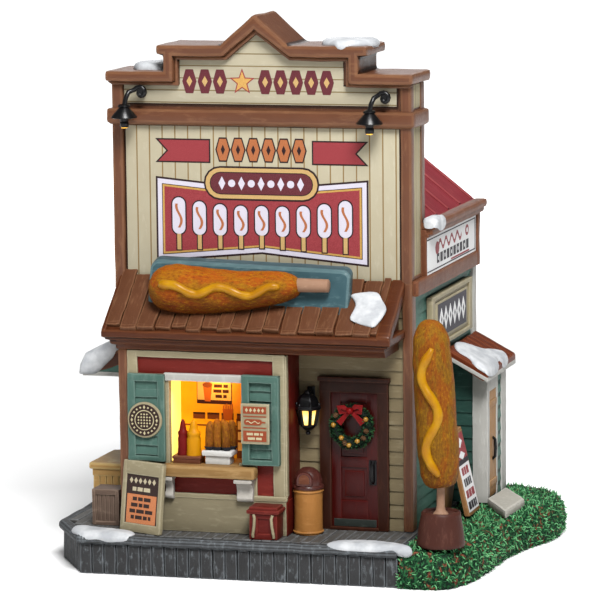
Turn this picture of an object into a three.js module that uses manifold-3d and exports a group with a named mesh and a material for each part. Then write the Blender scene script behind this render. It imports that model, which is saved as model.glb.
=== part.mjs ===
// A painted ceramic village shop: a corn dog stand with a stepped false front, a serving window
// under a shingled porch roof, a corn dog on the porch, another standing in a pot, and a side shed.
// Millimetres. X runs right along the shop front, Y back from the sign face, Z up from the table.
import * as THREE from "three";
import { mergeVertices } from "three/addons/utils/BufferGeometryUtils.js";
import Module from "manifold-3d";

const wasm = await Module();
wasm.setup();

// Driving sizes.
const GAP = 0.3; // clearance kept between neighbouring pieces
const GRID = 1000; // corners sit on a grid of 1/GRID mm, so that faces that meet agree
const OVERCUT = 5; // how far a cutting tool runs past what it cuts
const DECK_TOP = 13.2;
const DECK_EDGE = 3; // height of the deck's edge board
const DECK_LIP = 1.2; // how far the edge board stands out past the skirt
const LEFT_WALL = -62;
const RIGHT_WALL = 38.2;
const BACK_WALL = 88;
const WALL = 4; // thickness of the casting
const WALL_TOP = 111.7;
const PORCH_TOP = 96; // where the porch roof meets the false front
const BOARD_DEPTH = 15.8; // thickness of the false front, from its sign face back
const BAY_FACE = -16.5;
const BAY_LEFT = -58.5;
const BAY_RIGHT = -0.6;
const BAY_TOP = 74;
const WINDOW = { left: -41, right: -14.5, bottom: 36.3, top: 66.2 };
const ROOM_BACK = -4.4; // how far back the serving window's small room reaches
const DOOR = { left: 10.8, right: 27, top: 59.8 };
const RIDGE = -13; // the main roof's ridge line, in X
const RIDGE_TOP = 156;
const ROOF_PITCH = THREE.MathUtils.degToRad(38.3);
const ROOF_THICK = 3;
const LIGHT_HOLE = { x: -12, z: 40, radius: 11 }; // where the bulb goes in, through the back wall

const model = new THREE.Group();

// Painted finishes.
function paint(color, roughness = 0.6, metalness = 0) {
  return new THREE.MeshStandardMaterial({ color, roughness, metalness });
}

const DECK_GREY = paint(0x62625f, 0.75);
const GRASS_GREEN = paint(0x2f6b3a, 0.9);
const CREAM = paint(0xd8cda8);
const TAN = paint(0xb48a52);
const BROWN = paint(0x85583f);
const DARK_BROWN = paint(0x5c3427);
const TEAL = paint(0x5f8f80);
const SIGN_TEAL = paint(0x5b8790);
const RED = paint(0x8a2f2c);
const MAROON = paint(0x6d2522);
const ROOF_RED = paint(0xa24447);
const WHITE = paint(0xe2e2dc);
const BLACK = paint(0x1b1c20, 0.35);
const BATTER = paint(0xb0701f, 0.4);
const MUSTARD = paint(0xe2a011, 0.3);
const STICK = paint(0xd8ab8c);
const GREEN = paint(0x1f5a34, 0.8);
const GLOW = paint(0xf2b32a, 0.7);
const SNOW = paint(0xf2f4f6, 0.55);
const STONE = paint(0xc9c5b8, 0.8);

// A closed three.js shape as a solid whose faces point outwards.
function solid(geometry) {
  const bare = geometry.index ? geometry.toNonIndexed() : geometry.clone();
  for (const name of Object.keys(bare.attributes)) {
    if (name !== "position") bare.deleteAttribute(name);
  }
  const corners = bare.getAttribute("position").array;
  corners.forEach((value, i) => {
    corners[i] = Math.round(value * GRID) / GRID;
  });
  const merged = mergeVertices(bare, 0.5 / GRID);
  const points = merged.getAttribute("position").array;
  const faces = [];
  let volume = 0;
  for (let i = 0; i < merged.index.count; i += 3) {
    const [a, b, c] = merged.index.array.slice(i, i + 3);
    if (a === b || b === c || c === a) continue;
    faces.push([a, b, c]);
    const [p, q, r] = [a, b, c].map((n) => new THREE.Vector3().fromArray(points, n * 3));
    volume += p.dot(q.cross(r));
  }
  const outward = volume < 0 ? faces.map(([a, b, c]) => [a, c, b]) : faces;
  return new wasm.Manifold(
    new wasm.Mesh({ numProp: 3, vertProperties: points, triVerts: new Uint32Array(outward.flat()) }),
  );
}

function join(first, ...others) {
  return others.reduce((whole, next) => whole.add(next), first);
}

function cut(body, ...tools) {
  return tools.reduce((whole, next) => whole.subtract(next), body);
}

// Adds one named sub-part to the model.
function piece(name, shape, finish) {
  const mesh = shape.getMesh();
  const geometry = new THREE.BufferGeometry();
  geometry.setAttribute("position", new THREE.BufferAttribute(mesh.vertProperties, mesh.numProp));
  geometry.setIndex(new THREE.BufferAttribute(mesh.triVerts, 1));
  geometry.computeVertexNormals();
  const part = new THREE.Mesh(geometry, finish);
  part.name = name;
  model.add(part);
}

// A box given by its low and high X, Y and Z.
function block([x0, x1], [y0, y1], [z0, z1]) {
  const box = new THREE.BoxGeometry(x1 - x0, y1 - y0, z1 - z0);
  return solid(box.translate((x0 + x1) / 2, (y0 + y1) / 2, (z0 + z1) / 2));
}

function outline(points) {
  return new THREE.Shape(points.map(([u, v]) => new THREE.Vector2(u, v)));
}

function extruded(points, depth) {
  return new THREE.ExtrudeGeometry(outline(points), { depth, bevelEnabled: false });
}

// A plan outline in X and Y, raised from z0 to z1.
function raised(points, z0, z1) {
  return solid(extruded(points, z1 - z0).translate(0, 0, z0));
}

// An outline in X and Z, as seen from the front, running back from y0 to y1.
function facing(points, y0, y1) {
  return solid(extruded(points, y1 - y0).rotateX(Math.PI / 2).translate(0, y1, 0));
}

// An outline in Y and Z, as seen from the side, running from x0 to x1.
function sideways(points, x0, x1) {
  const turn = new THREE.Matrix4().set(0, 0, 1, x0, 1, 0, 0, 0, 0, 1, 0, 0, 0, 0, 0, 1);
  return solid(extruded(points, x1 - x0).applyMatrix4(turn));
}

// A profile of [radius, height] turned about a vertical axis at (x, y).
function turned(profile, x, y, segments = 24) {
  const points = profile.map(([r, z]) => new THREE.Vector2(r, z));
  const lathe = new THREE.LatheGeometry(points, segments);
  return lathe.rotateX(Math.PI / 2).translate(x, y, 0);
}

// A round bar of the given radius along a smooth curve through the points.
function bar(points, radius, steps, sides = 8) {
  const curve = new THREE.CatmullRomCurve3(points.map((p) => new THREE.Vector3(...p)));
  const section = new THREE.Shape(
    Array.from({ length: sides }, (_, i) => {
      const angle = (2 * Math.PI * i) / sides;
      return new THREE.Vector2(radius * Math.cos(angle), radius * Math.sin(angle));
    }),
  );
  return solid(new THREE.ExtrudeGeometry(section, { extrudePath: curve, steps, bevelEnabled: false }));
}

// The same shape with each corner moved by a rule of its own place.
function moved(geometry, rule) {
  const place = geometry.getAttribute("position");
  for (let i = 0; i < place.count; i++) {
    place.setXYZ(i, ...rule(place.getX(i), place.getY(i), place.getZ(i)));
  }
  return geometry;
}

// A block whose top rectangle and bottom rectangle differ, such as a crown moulding or a canopy.
function tapered(low, high) {
  const unit = new THREE.BoxGeometry(1, 1, 1).translate(0.5, 0.5, 0.5);
  return solid(
    moved(unit, (u, v, w) => {
      const end = w > 0.5 ? high : low;
      return [
        THREE.MathUtils.lerp(...end.x, u),
        THREE.MathUtils.lerp(...end.y, v),
        end.z,
      ];
    }),
  );
}

// A rounded heap of snow: the upper half of a flattened ball, tipped to lie on a slope.
function drift([x, y, z], [length, width, height], tiltX = 0, tiltY = 0) {
  const dome = new THREE.SphereGeometry(1, 16, 6, 0, 2 * Math.PI, 0, Math.PI / 2);
  const base = new THREE.CircleGeometry(1, 16).rotateX(Math.PI / 2);
  const corners = [dome, base].flatMap((part) => [...part.toNonIndexed().getAttribute("position").array]);
  const closed = new THREE.BufferGeometry();
  closed.setAttribute("position", new THREE.Float32BufferAttribute(corners, 3));
  closed.rotateX(Math.PI / 2).scale(length / 2, width / 2, height);
  closed.rotateY(tiltY).rotateX(tiltX).translate(x, y, z);
  return solid(closed);
}

// The base: a boarded skirt, the deck on it, and the grass mound on the right.
function base() {
  const skirt = [[-68.8, -29.8], [40.3, -26.8], [40.3, 95], [-83, 95], [-83, -7.5]];
  const floor = [
    [-69.6, -29.8 - DECK_LIP],
    [40.3, -26.8 - DECK_LIP],
    [40.3, 95 + DECK_LIP],
    [-83 - DECK_LIP, 95 + DECK_LIP],
    [-83 - DECK_LIP, -8.4],
  ];
  piece("deck_skirt", raised(skirt, 0, DECK_TOP - DECK_EDGE), DECK_GREY);
  piece("deck_floor", raised(floor, DECK_TOP - DECK_EDGE, DECK_TOP), DECK_GREY);

  // The mound swells out to its widest a little above the table, then rounds over on top.
  const rim = [
    [30, -29], [46, -28.9], [53, -28.2], [58.8, -24.8], [62.4, -15], [64.2, -6], [65.2, 12],
    [66.2, 26], [69, 41], [73.2, 54], [75.2, 65], [74, 78], [68, 89], [57, 95.5], [42, 97.5], [30, 98],
  ];
  const shore = new THREE.SplineCurve(rim.map(([x, y]) => new THREE.Vector2(x, y))).getPoints(44);
  const levels = [[0, 1.6], [2.2, 0.5], [5, 0], [8, 0.5], [10.4, 1.5], [12.2, 2.9], [13, 4.6]]; // height, drawn in
  const steps = levels.length - 1;
  const heap = new THREE.ExtrudeGeometry(new THREE.Shape(shore), { depth: steps, steps, bevelEnabled: false });
  const spine = new THREE.Line3(new THREE.Vector3(44, -10, 0), new THREE.Vector3(52, 78, 0));
  const nearest = new THREE.Vector3();
  moved(heap, (x, y, step) => {
    const [height, drawnIn] = levels[Math.round(step)];
    const here = new THREE.Vector3(x, y, 0);
    spine.closestPointToPoint(here, true, nearest);
    const inward = nearest.sub(here).setLength(drawnIn);
    return [x + inward.x, y + inward.y, height];
  });
  const besideDeck = block([20, 40.3 + GAP], [-40, 110], [-10, 20]);
  piece("grass_mound", cut(solid(heap), besideDeck), GRASS_GREEN);
}

// The walls of the hollow casting, and the bulb's hole through the back.
function walls() {
  const sideWall = [
    [WALL + GAP, DECK_TOP],
    [BACK_WALL - WALL - GAP, DECK_TOP],
    [BACK_WALL - WALL - GAP, WALL_TOP],
    [BOARD_DEPTH + GAP, WALL_TOP],
    [BOARD_DEPTH + GAP, PORCH_TOP],
    [WALL + GAP, PORCH_TOP],
  ];
  piece("wall_left", sideways(sideWall, LEFT_WALL, LEFT_WALL + WALL), TEAL);
  piece("wall_right", sideways(sideWall, RIGHT_WALL - WALL, RIGHT_WALL), TEAL);
  piece("wall_front", block([LEFT_WALL, 35.3], [0, WALL], [DECK_TOP, PORCH_TOP]), CREAM);

  const hole = new THREE.CylinderGeometry(LIGHT_HOLE.radius, LIGHT_HOLE.radius, WALL + 2 * OVERCUT, 32);
  hole.translate(LIGHT_HOLE.x, BACK_WALL - WALL / 2, LIGHT_HOLE.z);
  const back = block([LEFT_WALL, RIGHT_WALL], [BACK_WALL - WALL, BACK_WALL], [DECK_TOP, WALL_TOP]);
  piece("wall_back", cut(back, solid(hole)), TEAL);
}

// The serving bay: four blocks round the window, the counter, and the lit back of its small room.
function bay() {
  const front = [BAY_FACE, -GAP];
  const room = [BAY_FACE, ROOM_BACK];
  const counterLow = 32.5;
  piece("bay_base", block([BAY_LEFT, BAY_RIGHT], front, [DECK_TOP, counterLow - GAP]), CREAM);
  const jamb = [counterLow, WINDOW.top - GAP];
  piece("bay_left", block([BAY_LEFT, WINDOW.left - GAP], front, jamb), CREAM);
  piece("bay_right", block([WINDOW.right + GAP, BAY_RIGHT], front, jamb), CREAM);
  piece("bay_head", block([BAY_LEFT, BAY_RIGHT], front, [WINDOW.top, BAY_TOP]), CREAM);

  const inside = block([WINDOW.left, WINDOW.right], room, [counterLow, WINDOW.bottom]);
  const ledge = block([-42.4, -11], [-21.5, BAY_FACE - GAP], [counterLow, WINDOW.bottom]);
  const joint = block([WINDOW.left, WINDOW.right], [BAY_FACE - 1, BAY_FACE + 1], [counterLow, WINDOW.bottom]);
  piece("counter", join(inside, joint, ledge), TAN);
  const lit = [counterLow, WINDOW.top - GAP];
  piece("room_back", block([WINDOW.left, WINDOW.right], [ROOM_BACK + GAP, -GAP], lit), GLOW);

  piece("shutter_left", block([-55.1, -42], [-18.3, BAY_FACE - GAP], [36.8, 66.3]), TEAL);
  piece("shutter_right", block([-15, -2], [-19.2, BAY_FACE - GAP], [37, 67.2]), TEAL);
  piece("menu_board", block([-14.8, -5], [-20.6, -19.2 - GAP], [44.5, 58]), CREAM);

  // Scroll brackets: deep at the top, drawn in to a small foot.
  const scroll = [[BAY_FACE - GAP, 24.6], [-18.2, 24.6], [-18.6, 26.6], [-18, 28.4], [-20.6, 30.4]];
  const bracket = [...scroll, [-20.8, counterLow - GAP], [BAY_FACE - GAP, counterLow - GAP]];
  piece("bracket_left", sideways(bracket, -42.4, -39), WHITE);
  piece("bracket_right", sideways(bracket, -18.4, -12.6), WHITE);
}

// What stands on the counter: a tray with two sauce bottles, and a rack of corn dogs.
function counterGoods() {
  const top = WINDOW.bottom;
  const tray = block([-39.6, -30.2], [-17.4, -11.6], [top, top + 2.4]);
  const bottle = [[0, 0], [1.6, 0], [1.7, 7], [1.4, 9.2], [0.7, 10], [0.6, 12.4], [0, 12.6]];
  const bottleAt = (x) => solid(turned(bottle, x, -14.4, 14).translate(0, 0, top + 1.6));
  piece("sauce_tray", join(tray, bottleAt(-37), bottleAt(-33.2)), DARK_BROWN);

  const rack = block([-29.4, -19.4], [-17.2, -11.2], [top, top + 4.6]);
  const snack = [[0, 0], [0.5, 0], [0.5, 2.4], [1.5, 2.8], [1.75, 5], [1.7, 9], [1.1, 10.6], [0, 11.1]];
  const snacks = [-27.6, -24.4, -21.2].map((x) => solid(turned(snack, x, -14.2, 12).translate(0, 0, top + 3.4)));
  piece("corn_dog_rack", join(rack, ...snacks), WHITE);
}

// The doorway beside the bay: frame, door, wreath, lantern and the corner post.
function doorway() {
  const face = -GAP;
  const proud = -1.8;
  const doorHole = block([DOOR.left - GAP, DOOR.right + GAP], [proud - 1, 1], [DECK_TOP - 1, DOOR.top + GAP]);
  const frame = block([6.9, 30.7], [proud, face], [DECK_TOP, 64.4]);
  piece("door_frame", cut(frame, doorHole), DARK_BROWN);
  piece("door", block([DOOR.left, DOOR.right], [-1, face], [DECK_TOP, DOOR.top]), MAROON);

  const ring = new THREE.TorusGeometry(5.6, 2.3, 8, 24).rotateX(Math.PI / 2).scale(1, 0.75, 1);
  piece("wreath", solid(ring.translate(18.5, -3.1, 48.6)), GREEN);

  const lamp = { x: 4.3, y: -4.6 };
  const body = [
    [0, 45.4], [0.9, 45.6], [1.3, 47], [2.5, 48], [3.2, 55], [3.8, 55.4], [3.4, 57], [1.5, 59.4], [0, 60.4],
  ];
  const arm = block([lamp.x - 0.8, lamp.x + 0.8], [lamp.y, face], [56, 58]);
  piece("lantern", join(solid(turned(body, lamp.x, lamp.y, 6)), arm), BLACK);

  piece("corner_post", block([35.6, 38.9], [-1.2, WALL], [DECK_TOP, PORCH_TOP - GAP - 5]), BROWN);
}

// The porch roof over the bay and the door, with its crown moulding under the eave.
const PORCH = { left: -63, right: 36.5, back: -1.5, eave: -21.4, top: 96.6, eaveTop: 81, eaveLow: 78.8 };

function porch() {
  const boards = [
    [PORCH.back, PORCH.top],
    [PORCH.eave, PORCH.eaveTop],
    [PORCH.eave, PORCH.eaveLow],
    [PORCH.back, PORCH.eaveLow],
  ];
  const crown = tapered(
    { x: [PORCH.left + 4.6, PORCH.right - 2.4], y: [PORCH.eave + 4.2, PORCH.back], z: BAY_TOP + GAP },
    { x: [PORCH.left + 0.6, PORCH.right - 0.4], y: [PORCH.eave + 0.6, PORCH.back], z: PORCH.eaveLow + 1 },
  );
  piece("porch_roof", join(sideways(boards, PORCH.left, PORCH.right), crown), BROWN);
}

// The stepped false front: one thick board, a post at each end, a ledge and a stepped cornice.
const STEP = { low: 162.3, high: 170.9, left: -41.9, right: 17.9 };
const GABLE = { left: -24.7, right: -1.8, apex: -13.9, top: 180 };

function falseFront() {
  const edge = [
    [LEFT_WALL - 2, PORCH_TOP + GAP],
    [38.1, PORCH_TOP + GAP],
    [38.1, STEP.low],
    [STEP.right, STEP.low],
    [STEP.right, STEP.high],
    [GABLE.right, STEP.high],
    [GABLE.apex, GABLE.top],
    [GABLE.left, STEP.high],
    [STEP.left, STEP.high],
    [STEP.left, STEP.low],
    [LEFT_WALL - 2, STEP.low],
  ];
  const postDepth = 1.5;
  const leftPost = [-64.85, -61.1];
  const rightPost = [35.2, 38.9];
  const notch = [-OVERCUT, postDepth + GAP];
  const tall = [0, 200];
  const board = cut(
    facing(edge, 0, BOARD_DEPTH),
    block([-70, leftPost[1] + GAP], notch, tall),
    block([rightPost[0] - GAP, 45], notch, tall),
  );
  piece("sign_front", board, CREAM);
  const postHeight = [PORCH_TOP + GAP, STEP.low];
  piece("post_left", block(leftPost, [-1.2, postDepth], postHeight), BROWN);
  piece("post_right", block(rightPost, [-1.2, postDepth], postHeight), BROWN);

  const belt = block([-66.3, 40.3], [-2.8, 17.6], [148.8, 153.7]);
  const beltHole = block([-65.15, 39.2], [-1.5, 30], [140, 160]);
  piece("ledge", cut(belt, beltHole), BROWN);

  // The cornice caps the board: a lower step, an upright, an upper step and two rakes.
  const band = 3.9;
  const lip = { left: -66.3, right: 40.3 };
  const under = [
    [lip.right, STEP.low + GAP],
    [STEP.right + GAP, STEP.low + GAP],
    [STEP.right + GAP, STEP.high + GAP],
    [GABLE.right + 0.2, STEP.high + GAP],
    [GABLE.apex, GABLE.top + 0.5],
    [GABLE.left - 0.2, STEP.high + GAP],
    [STEP.left - GAP, STEP.high + GAP],
    [STEP.left - GAP, STEP.low + GAP],
    [lip.left, STEP.low + GAP],
  ];
  const over = [
    [lip.left, STEP.low + band],
    [STEP.left - band, STEP.low + band],
    [STEP.left - band, STEP.high + 0.9],
    [-48.2, STEP.high + 0.9],
    [-48.2, STEP.high + band + 0.3],
    [-25.6, STEP.high + band + 0.3],
    [GABLE.apex, 185.5],
    [-2.2, STEP.high + band + 0.3],
    [24.9, STEP.high + band + 0.3],
    [24.9, STEP.high + 0.9],
    [STEP.right + band, STEP.high + 0.9],
    [STEP.right + band, STEP.low + band],
    [lip.right, STEP.low + band],
  ];
  piece("cornice", facing([...under, ...over], -4.2, 20), BROWN);
}

// The two barn lamps on the false front: a coiled arm, a cone shade and a short lamp holder.
function barnLamps() {
  const shade = [
    [0, 0], [1.5, 0], [1.5, 3], [4.4, 3.2], [4.4, 3.6], [1.7, 6.6], [1.9, 7.2], [1.2, 7.8], [0, 7.9],
  ];
  const y = -7.2;
  for (const [name, x, low, hook] of [["lamp_left", -58.4, 147.6, 4.4], ["lamp_right", 26.4, 146.8, 3.8]]) {
    const head = solid(turned(shade, x, y, 16).translate(0, 0, low));
    const arm = bar(
      [
        [x, y, low + 7],
        [x + 0.6, y, low + 10.4],
        [x + hook * 0.6, y + 0.6, low + 12.4],
        [x + hook, y + 2, low + 12],
        [x + hook + 0.2, -GAP - 0.4, low + 10.6],
      ],
      0.75,
      14,
    );
    piece(name, join(head, arm), BLACK);
  }
}

// A corn dog's batter body, as [distance along, radius], and how far its middle line sags.
const ROOF_DOG = {
  start: -48.3,
  y: -13.2,
  z: 95.6,
  shape: [
    [0, 0], [0.5, 3], [2.4, 5.9], [5, 7.5], [8.5, 8.1], [17, 7.9], [26, 7.1], [35, 6.3], [42, 5.7],
    [47.2, 4.9], [50.4, 3.7], [51.9, 2.4], [51.9, 0],
  ],
};
const POT_DOG = {
  x: 52.6,
  y: -18,
  bottom: 32.6,
  lean: -0.062,
  shape: [
    [0, 0], [4, 0.2], [5.6, 1.8], [6.5, 6], [6.8, 15], [6.7, 30], [6.3, 44], [5.5, 50], [3.9, 53.2],
    [2, 54.7], [0, 55.2],
  ],
};

function sag(x) {
  const along = (x - ROOF_DOG.start) / 52;
  return -1.6 * Math.sin(Math.PI * Math.min(1, along * 1.1)) + 0.9 * along * along;
}

function radiusAt(shape, distance, distanceIndex) {
  const radiusIndex = 1 - distanceIndex;
  const next = shape.findIndex((row) => row[distanceIndex] > distance);
  const [low, high] = [shape[next - 1], shape[next]];
  const share = (distance - low[distanceIndex]) / (high[distanceIndex] - low[distanceIndex]);
  return THREE.MathUtils.lerp(low[radiusIndex], high[radiusIndex], share);
}

function roofDogBody(extra) {
  const profile = ROOF_DOG.shape.map(([along, r]) => new THREE.Vector2(r > 0 ? r + extra : 0, along));
  const lathe = new THREE.LatheGeometry(profile, 20).rotateZ(-Math.PI / 2);
  lathe.translate(ROOF_DOG.start, ROOF_DOG.y, ROOF_DOG.z);
  return solid(moved(lathe, (x, y, z) => [x, y, z + sag(x)]));
}

// The corn dog sign lying on the porch roof, against its leaning teal board.
function roofSign() {
  const board = new THREE.Shape();
  const corner = 3.4;
  const [x0, x1, z0, z1] = [-49.6, 20, 0, 18.4];
  board.moveTo(x0 + corner, z0).lineTo(x1 - corner, z0);
  board.quadraticCurveTo(x1, z0, x1, z0 + corner).lineTo(x1, z1 - corner);
  board.quadraticCurveTo(x1, z1, x1 - corner, z1).lineTo(x0 + corner, z1);
  board.quadraticCurveTo(x0, z1, x0, z1 - corner).lineTo(x0, z0 + corner);
  board.quadraticCurveTo(x0, z0, x0 + corner, z0);
  const thick = 5;
  const leanBack = THREE.MathUtils.degToRad(-14);
  const slab = new THREE.ExtrudeGeometry(board, { depth: thick, bevelEnabled: false, curveSegments: 5 });
  slab.rotateX(Math.PI / 2).translate(0, thick, 0).rotateX(leanBack).translate(0, -12.6, 87);
  // Everything below the shingles, and a little above them, is cut away from the sign.
  const clear = GAP + 0.1;
  const fall = (PORCH.top - PORCH.eaveTop) / (PORCH.back - PORCH.eave);
  const outside = PORCH.eave - 10;
  const slope = sideways(
    [
      [PORCH.back, PORCH.top + clear],
      [outside, PORCH.top + clear - fall * (PORCH.back - outside)],
      [outside, PORCH.eaveLow - 20],
      [PORCH.back, PORCH.eaveLow - 20],
    ],
    PORCH.left - OVERCUT,
    PORCH.right + OVERCUT,
  );
  piece("roof_sign_board", cut(solid(slab), roofDogBody(GAP), slope), SIGN_TEAL);
  piece("roof_corn_dog", cut(roofDogBody(0), slope), BATTER);

  const stickRow = { x: 3.9, z: 97 };
  const stick = new THREE.CylinderGeometry(2.1, 2.1, 10, 12).rotateZ(Math.PI / 2);
  stick.translate(stickRow.x + 5, ROOF_DOG.y, stickRow.z);
  const leanTool = solid(
    new THREE.BoxGeometry(90, thick + 2 * GAP, 30).translate(0, thick / 2, 9).rotateX(leanBack).translate(0, -12.6, 87),
  );
  piece("roof_stick", cut(solid(stick), leanTool), STICK);

  // The mustard runs along the body's front in three waves.
  const wave = [];
  for (let i = 0; i <= 30; i++) {
    const along = 3.4 + (41 * i) / 30;
    const turn = 0.36 * Math.cos((2 * Math.PI * i) / 15 + 0.3) + 0.22;
    const reach = radiusAt(ROOF_DOG.shape, along, 0) + 0.2;
    const x = ROOF_DOG.start + along;
    wave.push([x, ROOF_DOG.y - reach * Math.cos(turn), ROOF_DOG.z + sag(x) + reach * Math.sin(turn)]);
  }
  piece("roof_mustard", cut(bar(wave, 1.4, 48), roofDogBody(0.2)), MUSTARD);
}

// The corn dog that stands in its brown pot at the front corner.
function potDisplay() {
  const pot = [[0, 0], [8, 0], [6.6, 10.4], [6.2, 11.4], [0, 11.4]];
  piece("pot", solid(turned(pot, POT_DOG.x, POT_DOG.y, 28).translate(0, 0, DECK_TOP)), DARK_BROWN);

  const potTop = DECK_TOP + 11.4;
  const foot = turned([[0, 0], [2.4, 0], [1.5, 2], [1.35, 7.6], [0, 7.6]], POT_DOG.x, POT_DOG.y, 14);
  piece("pot_stick", solid(foot.translate(0, 0, potTop)), STICK);

  const body = (extra) => {
    const profile = POT_DOG.shape.map(([r, z]) => [r > 0 ? r + extra : 0, z]);
    const lathe = turned(profile, POT_DOG.x, POT_DOG.y, 28).translate(0, 0, POT_DOG.bottom);
    return solid(moved(lathe, (x, y, z) => [x + POT_DOG.lean * (z - POT_DOG.bottom), y, z]));
  };
  piece("pot_corn_dog", body(0), BATTER);

  const wave = [];
  for (let i = 0; i <= 24; i++) {
    const height = 4.6 + (42 * i) / 24;
    const turn = 0.36 * Math.sin((2 * Math.PI * i) / 14 + 2.6);
    const reach = radiusAt(POT_DOG.shape, height, 1) + 0.2;
    const x = POT_DOG.x + POT_DOG.lean * height + reach * Math.sin(turn);
    wave.push([x, POT_DOG.y - reach * Math.cos(turn), POT_DOG.bottom + height]);
  }
  piece("pot_mustard", cut(bar(wave, 1.35, 44), body(0.2)), MUSTARD);
}

// Small things that stand on the deck round the shop.
function deckGoods() {
  const bin = { x: 5, y: -9.4 };
  const binTop = 28.6;
  const can = [[0, DECK_TOP], [4.7, DECK_TOP], [4.6, binTop - GAP], [0, binTop - GAP]];
  piece("bin", solid(turned(can, bin.x, bin.y, 28)), TAN);
  const lid = [[0, 0], [5.2, 0], [5.2, 2.6], [4.7, 3.2], [4, 4.9], [2.4, 6.3], [0, 6.8]];
  piece("bin_lid", solid(turned(lid, bin.x, bin.y, 28).translate(0, 0, binTop)), DARK_BROWN);

  const chest = block([-11, -1.6], [-24.2, BAY_FACE - GAP], [DECK_TOP, 21.8]);
  const chestLid = block([-12, -0.7], [-24.9, BAY_FACE - GAP], [21.5, 24.2]);
  piece("cooler_box", join(chest, chestLid), RED);

  // The easel stands askew on the deck and leans back against the bay.
  const easel = { x: -58, y: -20.4, width: 17.2, height: 24, thick: 1.8 };
  const panel = new THREE.BoxGeometry(easel.width, easel.thick, easel.height);
  panel.translate(easel.width / 2, easel.thick / 2, easel.height / 2);
  panel.rotateX(THREE.MathUtils.degToRad(-7)).rotateZ(THREE.MathUtils.degToRad(-20.8));
  panel.translate(easel.x, easel.y, DECK_TOP);
  const ground = block([-80, 0], [-60, 0], [0, DECK_TOP]);
  const bayTool = block([BAY_LEFT - GAP, 0], [BAY_FACE - 2.2, 20], [0, 60]);
  const shelfTool = block([-42.4 - GAP, 0], [-21.5 - GAP, 0], [30, 40]);
  piece("menu_easel", cut(solid(panel), ground, bayTool, shelfTool), CREAM);

  piece("planter_box", block([-69.6, -60.6], [-13.4, -5], [DECK_TOP, 25.6]), DARK_BROWN);

  const bench = block([-76.8, LEFT_WALL - 0.9], [7, 31], [DECK_TOP, 28.8]);
  const benchTop = block([-78.2, LEFT_WALL - GAP], [6, 32], [28.4, 30.6]);
  piece("side_counter", join(bench, benchTop), TAN);
}

// The small awning on the left wall, over the side counter.
function sideAwning() {
  const slope = [
    [LEFT_WALL - GAP, 61],
    [LEFT_WALL - GAP, 72],
    [-79.4, 64],
    [-79.4, 61.6],
  ];
  piece("side_awning", facing(slope, 5, 33), BROWN);
}

// The right-hand side: a long sign box under the eave and a framed window sign below it.
function sideSigns() {
  const wall = RIGHT_WALL + GAP;
  const box = join(
    block([wall, 40.2], [BOARD_DEPTH + GAP, 85.5], [92.5, 113]),
    block([wall, 41.2], [BOARD_DEPTH + GAP, 85.5], [92.5, 98]),
    block([wall, 41], [77.2, 85.5], [92.5, 113]),
    block([wall, 39.7], [4.3, 18], [92.3, 95.8]),
    block([wall, 43.2], [BOARD_DEPTH + 4, 87.5], [111.2, 115.6]),
  );
  piece("side_sign", box, BROWN);
  piece("window_sign", block([wall, 40], [24, 83], [70.8, 89]), CREAM);
}

// The red metal roof behind the false front, on its closed attic.
function mainRoof() {
  const slope = Math.tan(ROOF_PITCH);
  const drop = ROOF_THICK / Math.cos(ROOF_PITCH);
  const rightEave = 38;
  const leftEave = -65;
  const height = (x) => RIDGE_TOP - slope * Math.abs(x - RIDGE);
  const sheet = [
    [leftEave, height(leftEave)],
    [leftEave, height(leftEave) - drop],
    [RIDGE, RIDGE_TOP - drop],
    [rightEave, height(rightEave) - drop],
    [rightEave, height(rightEave)],
    [RIDGE, RIDGE_TOP],
  ];
  const signTool = block([RIGHT_WALL, 50], [BOARD_DEPTH, 90], [90, 116]);
  piece("main_roof", cut(facing(sheet, BOARD_DEPTH + GAP, 90), signTool), ROOF_RED);
  const floor = WALL_TOP + GAP;
  const reach = 49; // half the attic's width
  const under = (x) => height(x) - drop - GAP - 0.2;
  const attic = [
    [RIDGE - reach, floor],
    [RIDGE + reach, floor],
    [RIDGE + reach, under(RIDGE + reach)],
    [RIDGE, under(RIDGE)],
    [RIDGE - reach, under(RIDGE - reach)],
  ];
  piece("attic", facing(attic, BOARD_DEPTH + GAP, BACK_WALL), TEAL);
}

// The lean-to shed on the right, its roof, the stone step and the folding board beside it.
function shed() {
  const wall = RIGHT_WALL + GAP;
  const outer = 51.2;
  const [front, back] = [53.6, 81];
  const house = [
    [wall, DECK_TOP],
    [outer, DECK_TOP],
    [outer, 57],
    [wall, 64.6],
  ];
  piece("shed", facing(house, front, back), TEAL);
  const sheet = [
    [wall, 65.1],
    [wall, 68.4],
    [53.4, 60.4],
    [53.4, 57.2],
    [51.6, 57.2],
  ];
  piece("shed_roof", facing(sheet, 45, 88.2), BROWN);
  const stone = [[52, 50.2], [63, 29.8], [64.6, 53], [53.5, 72.5]];
  piece("door_step", raised(stone, DECK_TOP, 15.6), STONE);

  // The folding board stands open beside the wall, its printed leaf towards the grass.
  const board = { foot: 51, ridge: 44.2, rearFoot: 39.4, top: DECK_TOP + 28.5, thick: 1.8 };
  const leaf = (foot) => {
    const outward = Math.sign(foot - board.ridge) * board.thick;
    return [
      [foot, DECK_TOP],
      [board.ridge + outward / 2, board.top],
      [board.ridge - outward / 2, board.top],
      [foot - outward, DECK_TOP],
    ];
  };
  const leaves = [board.foot, board.rearFoot].map((foot) => facing(leaf(foot), 30, 42));
  piece("folding_board", join(...leaves), RED);
}

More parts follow.
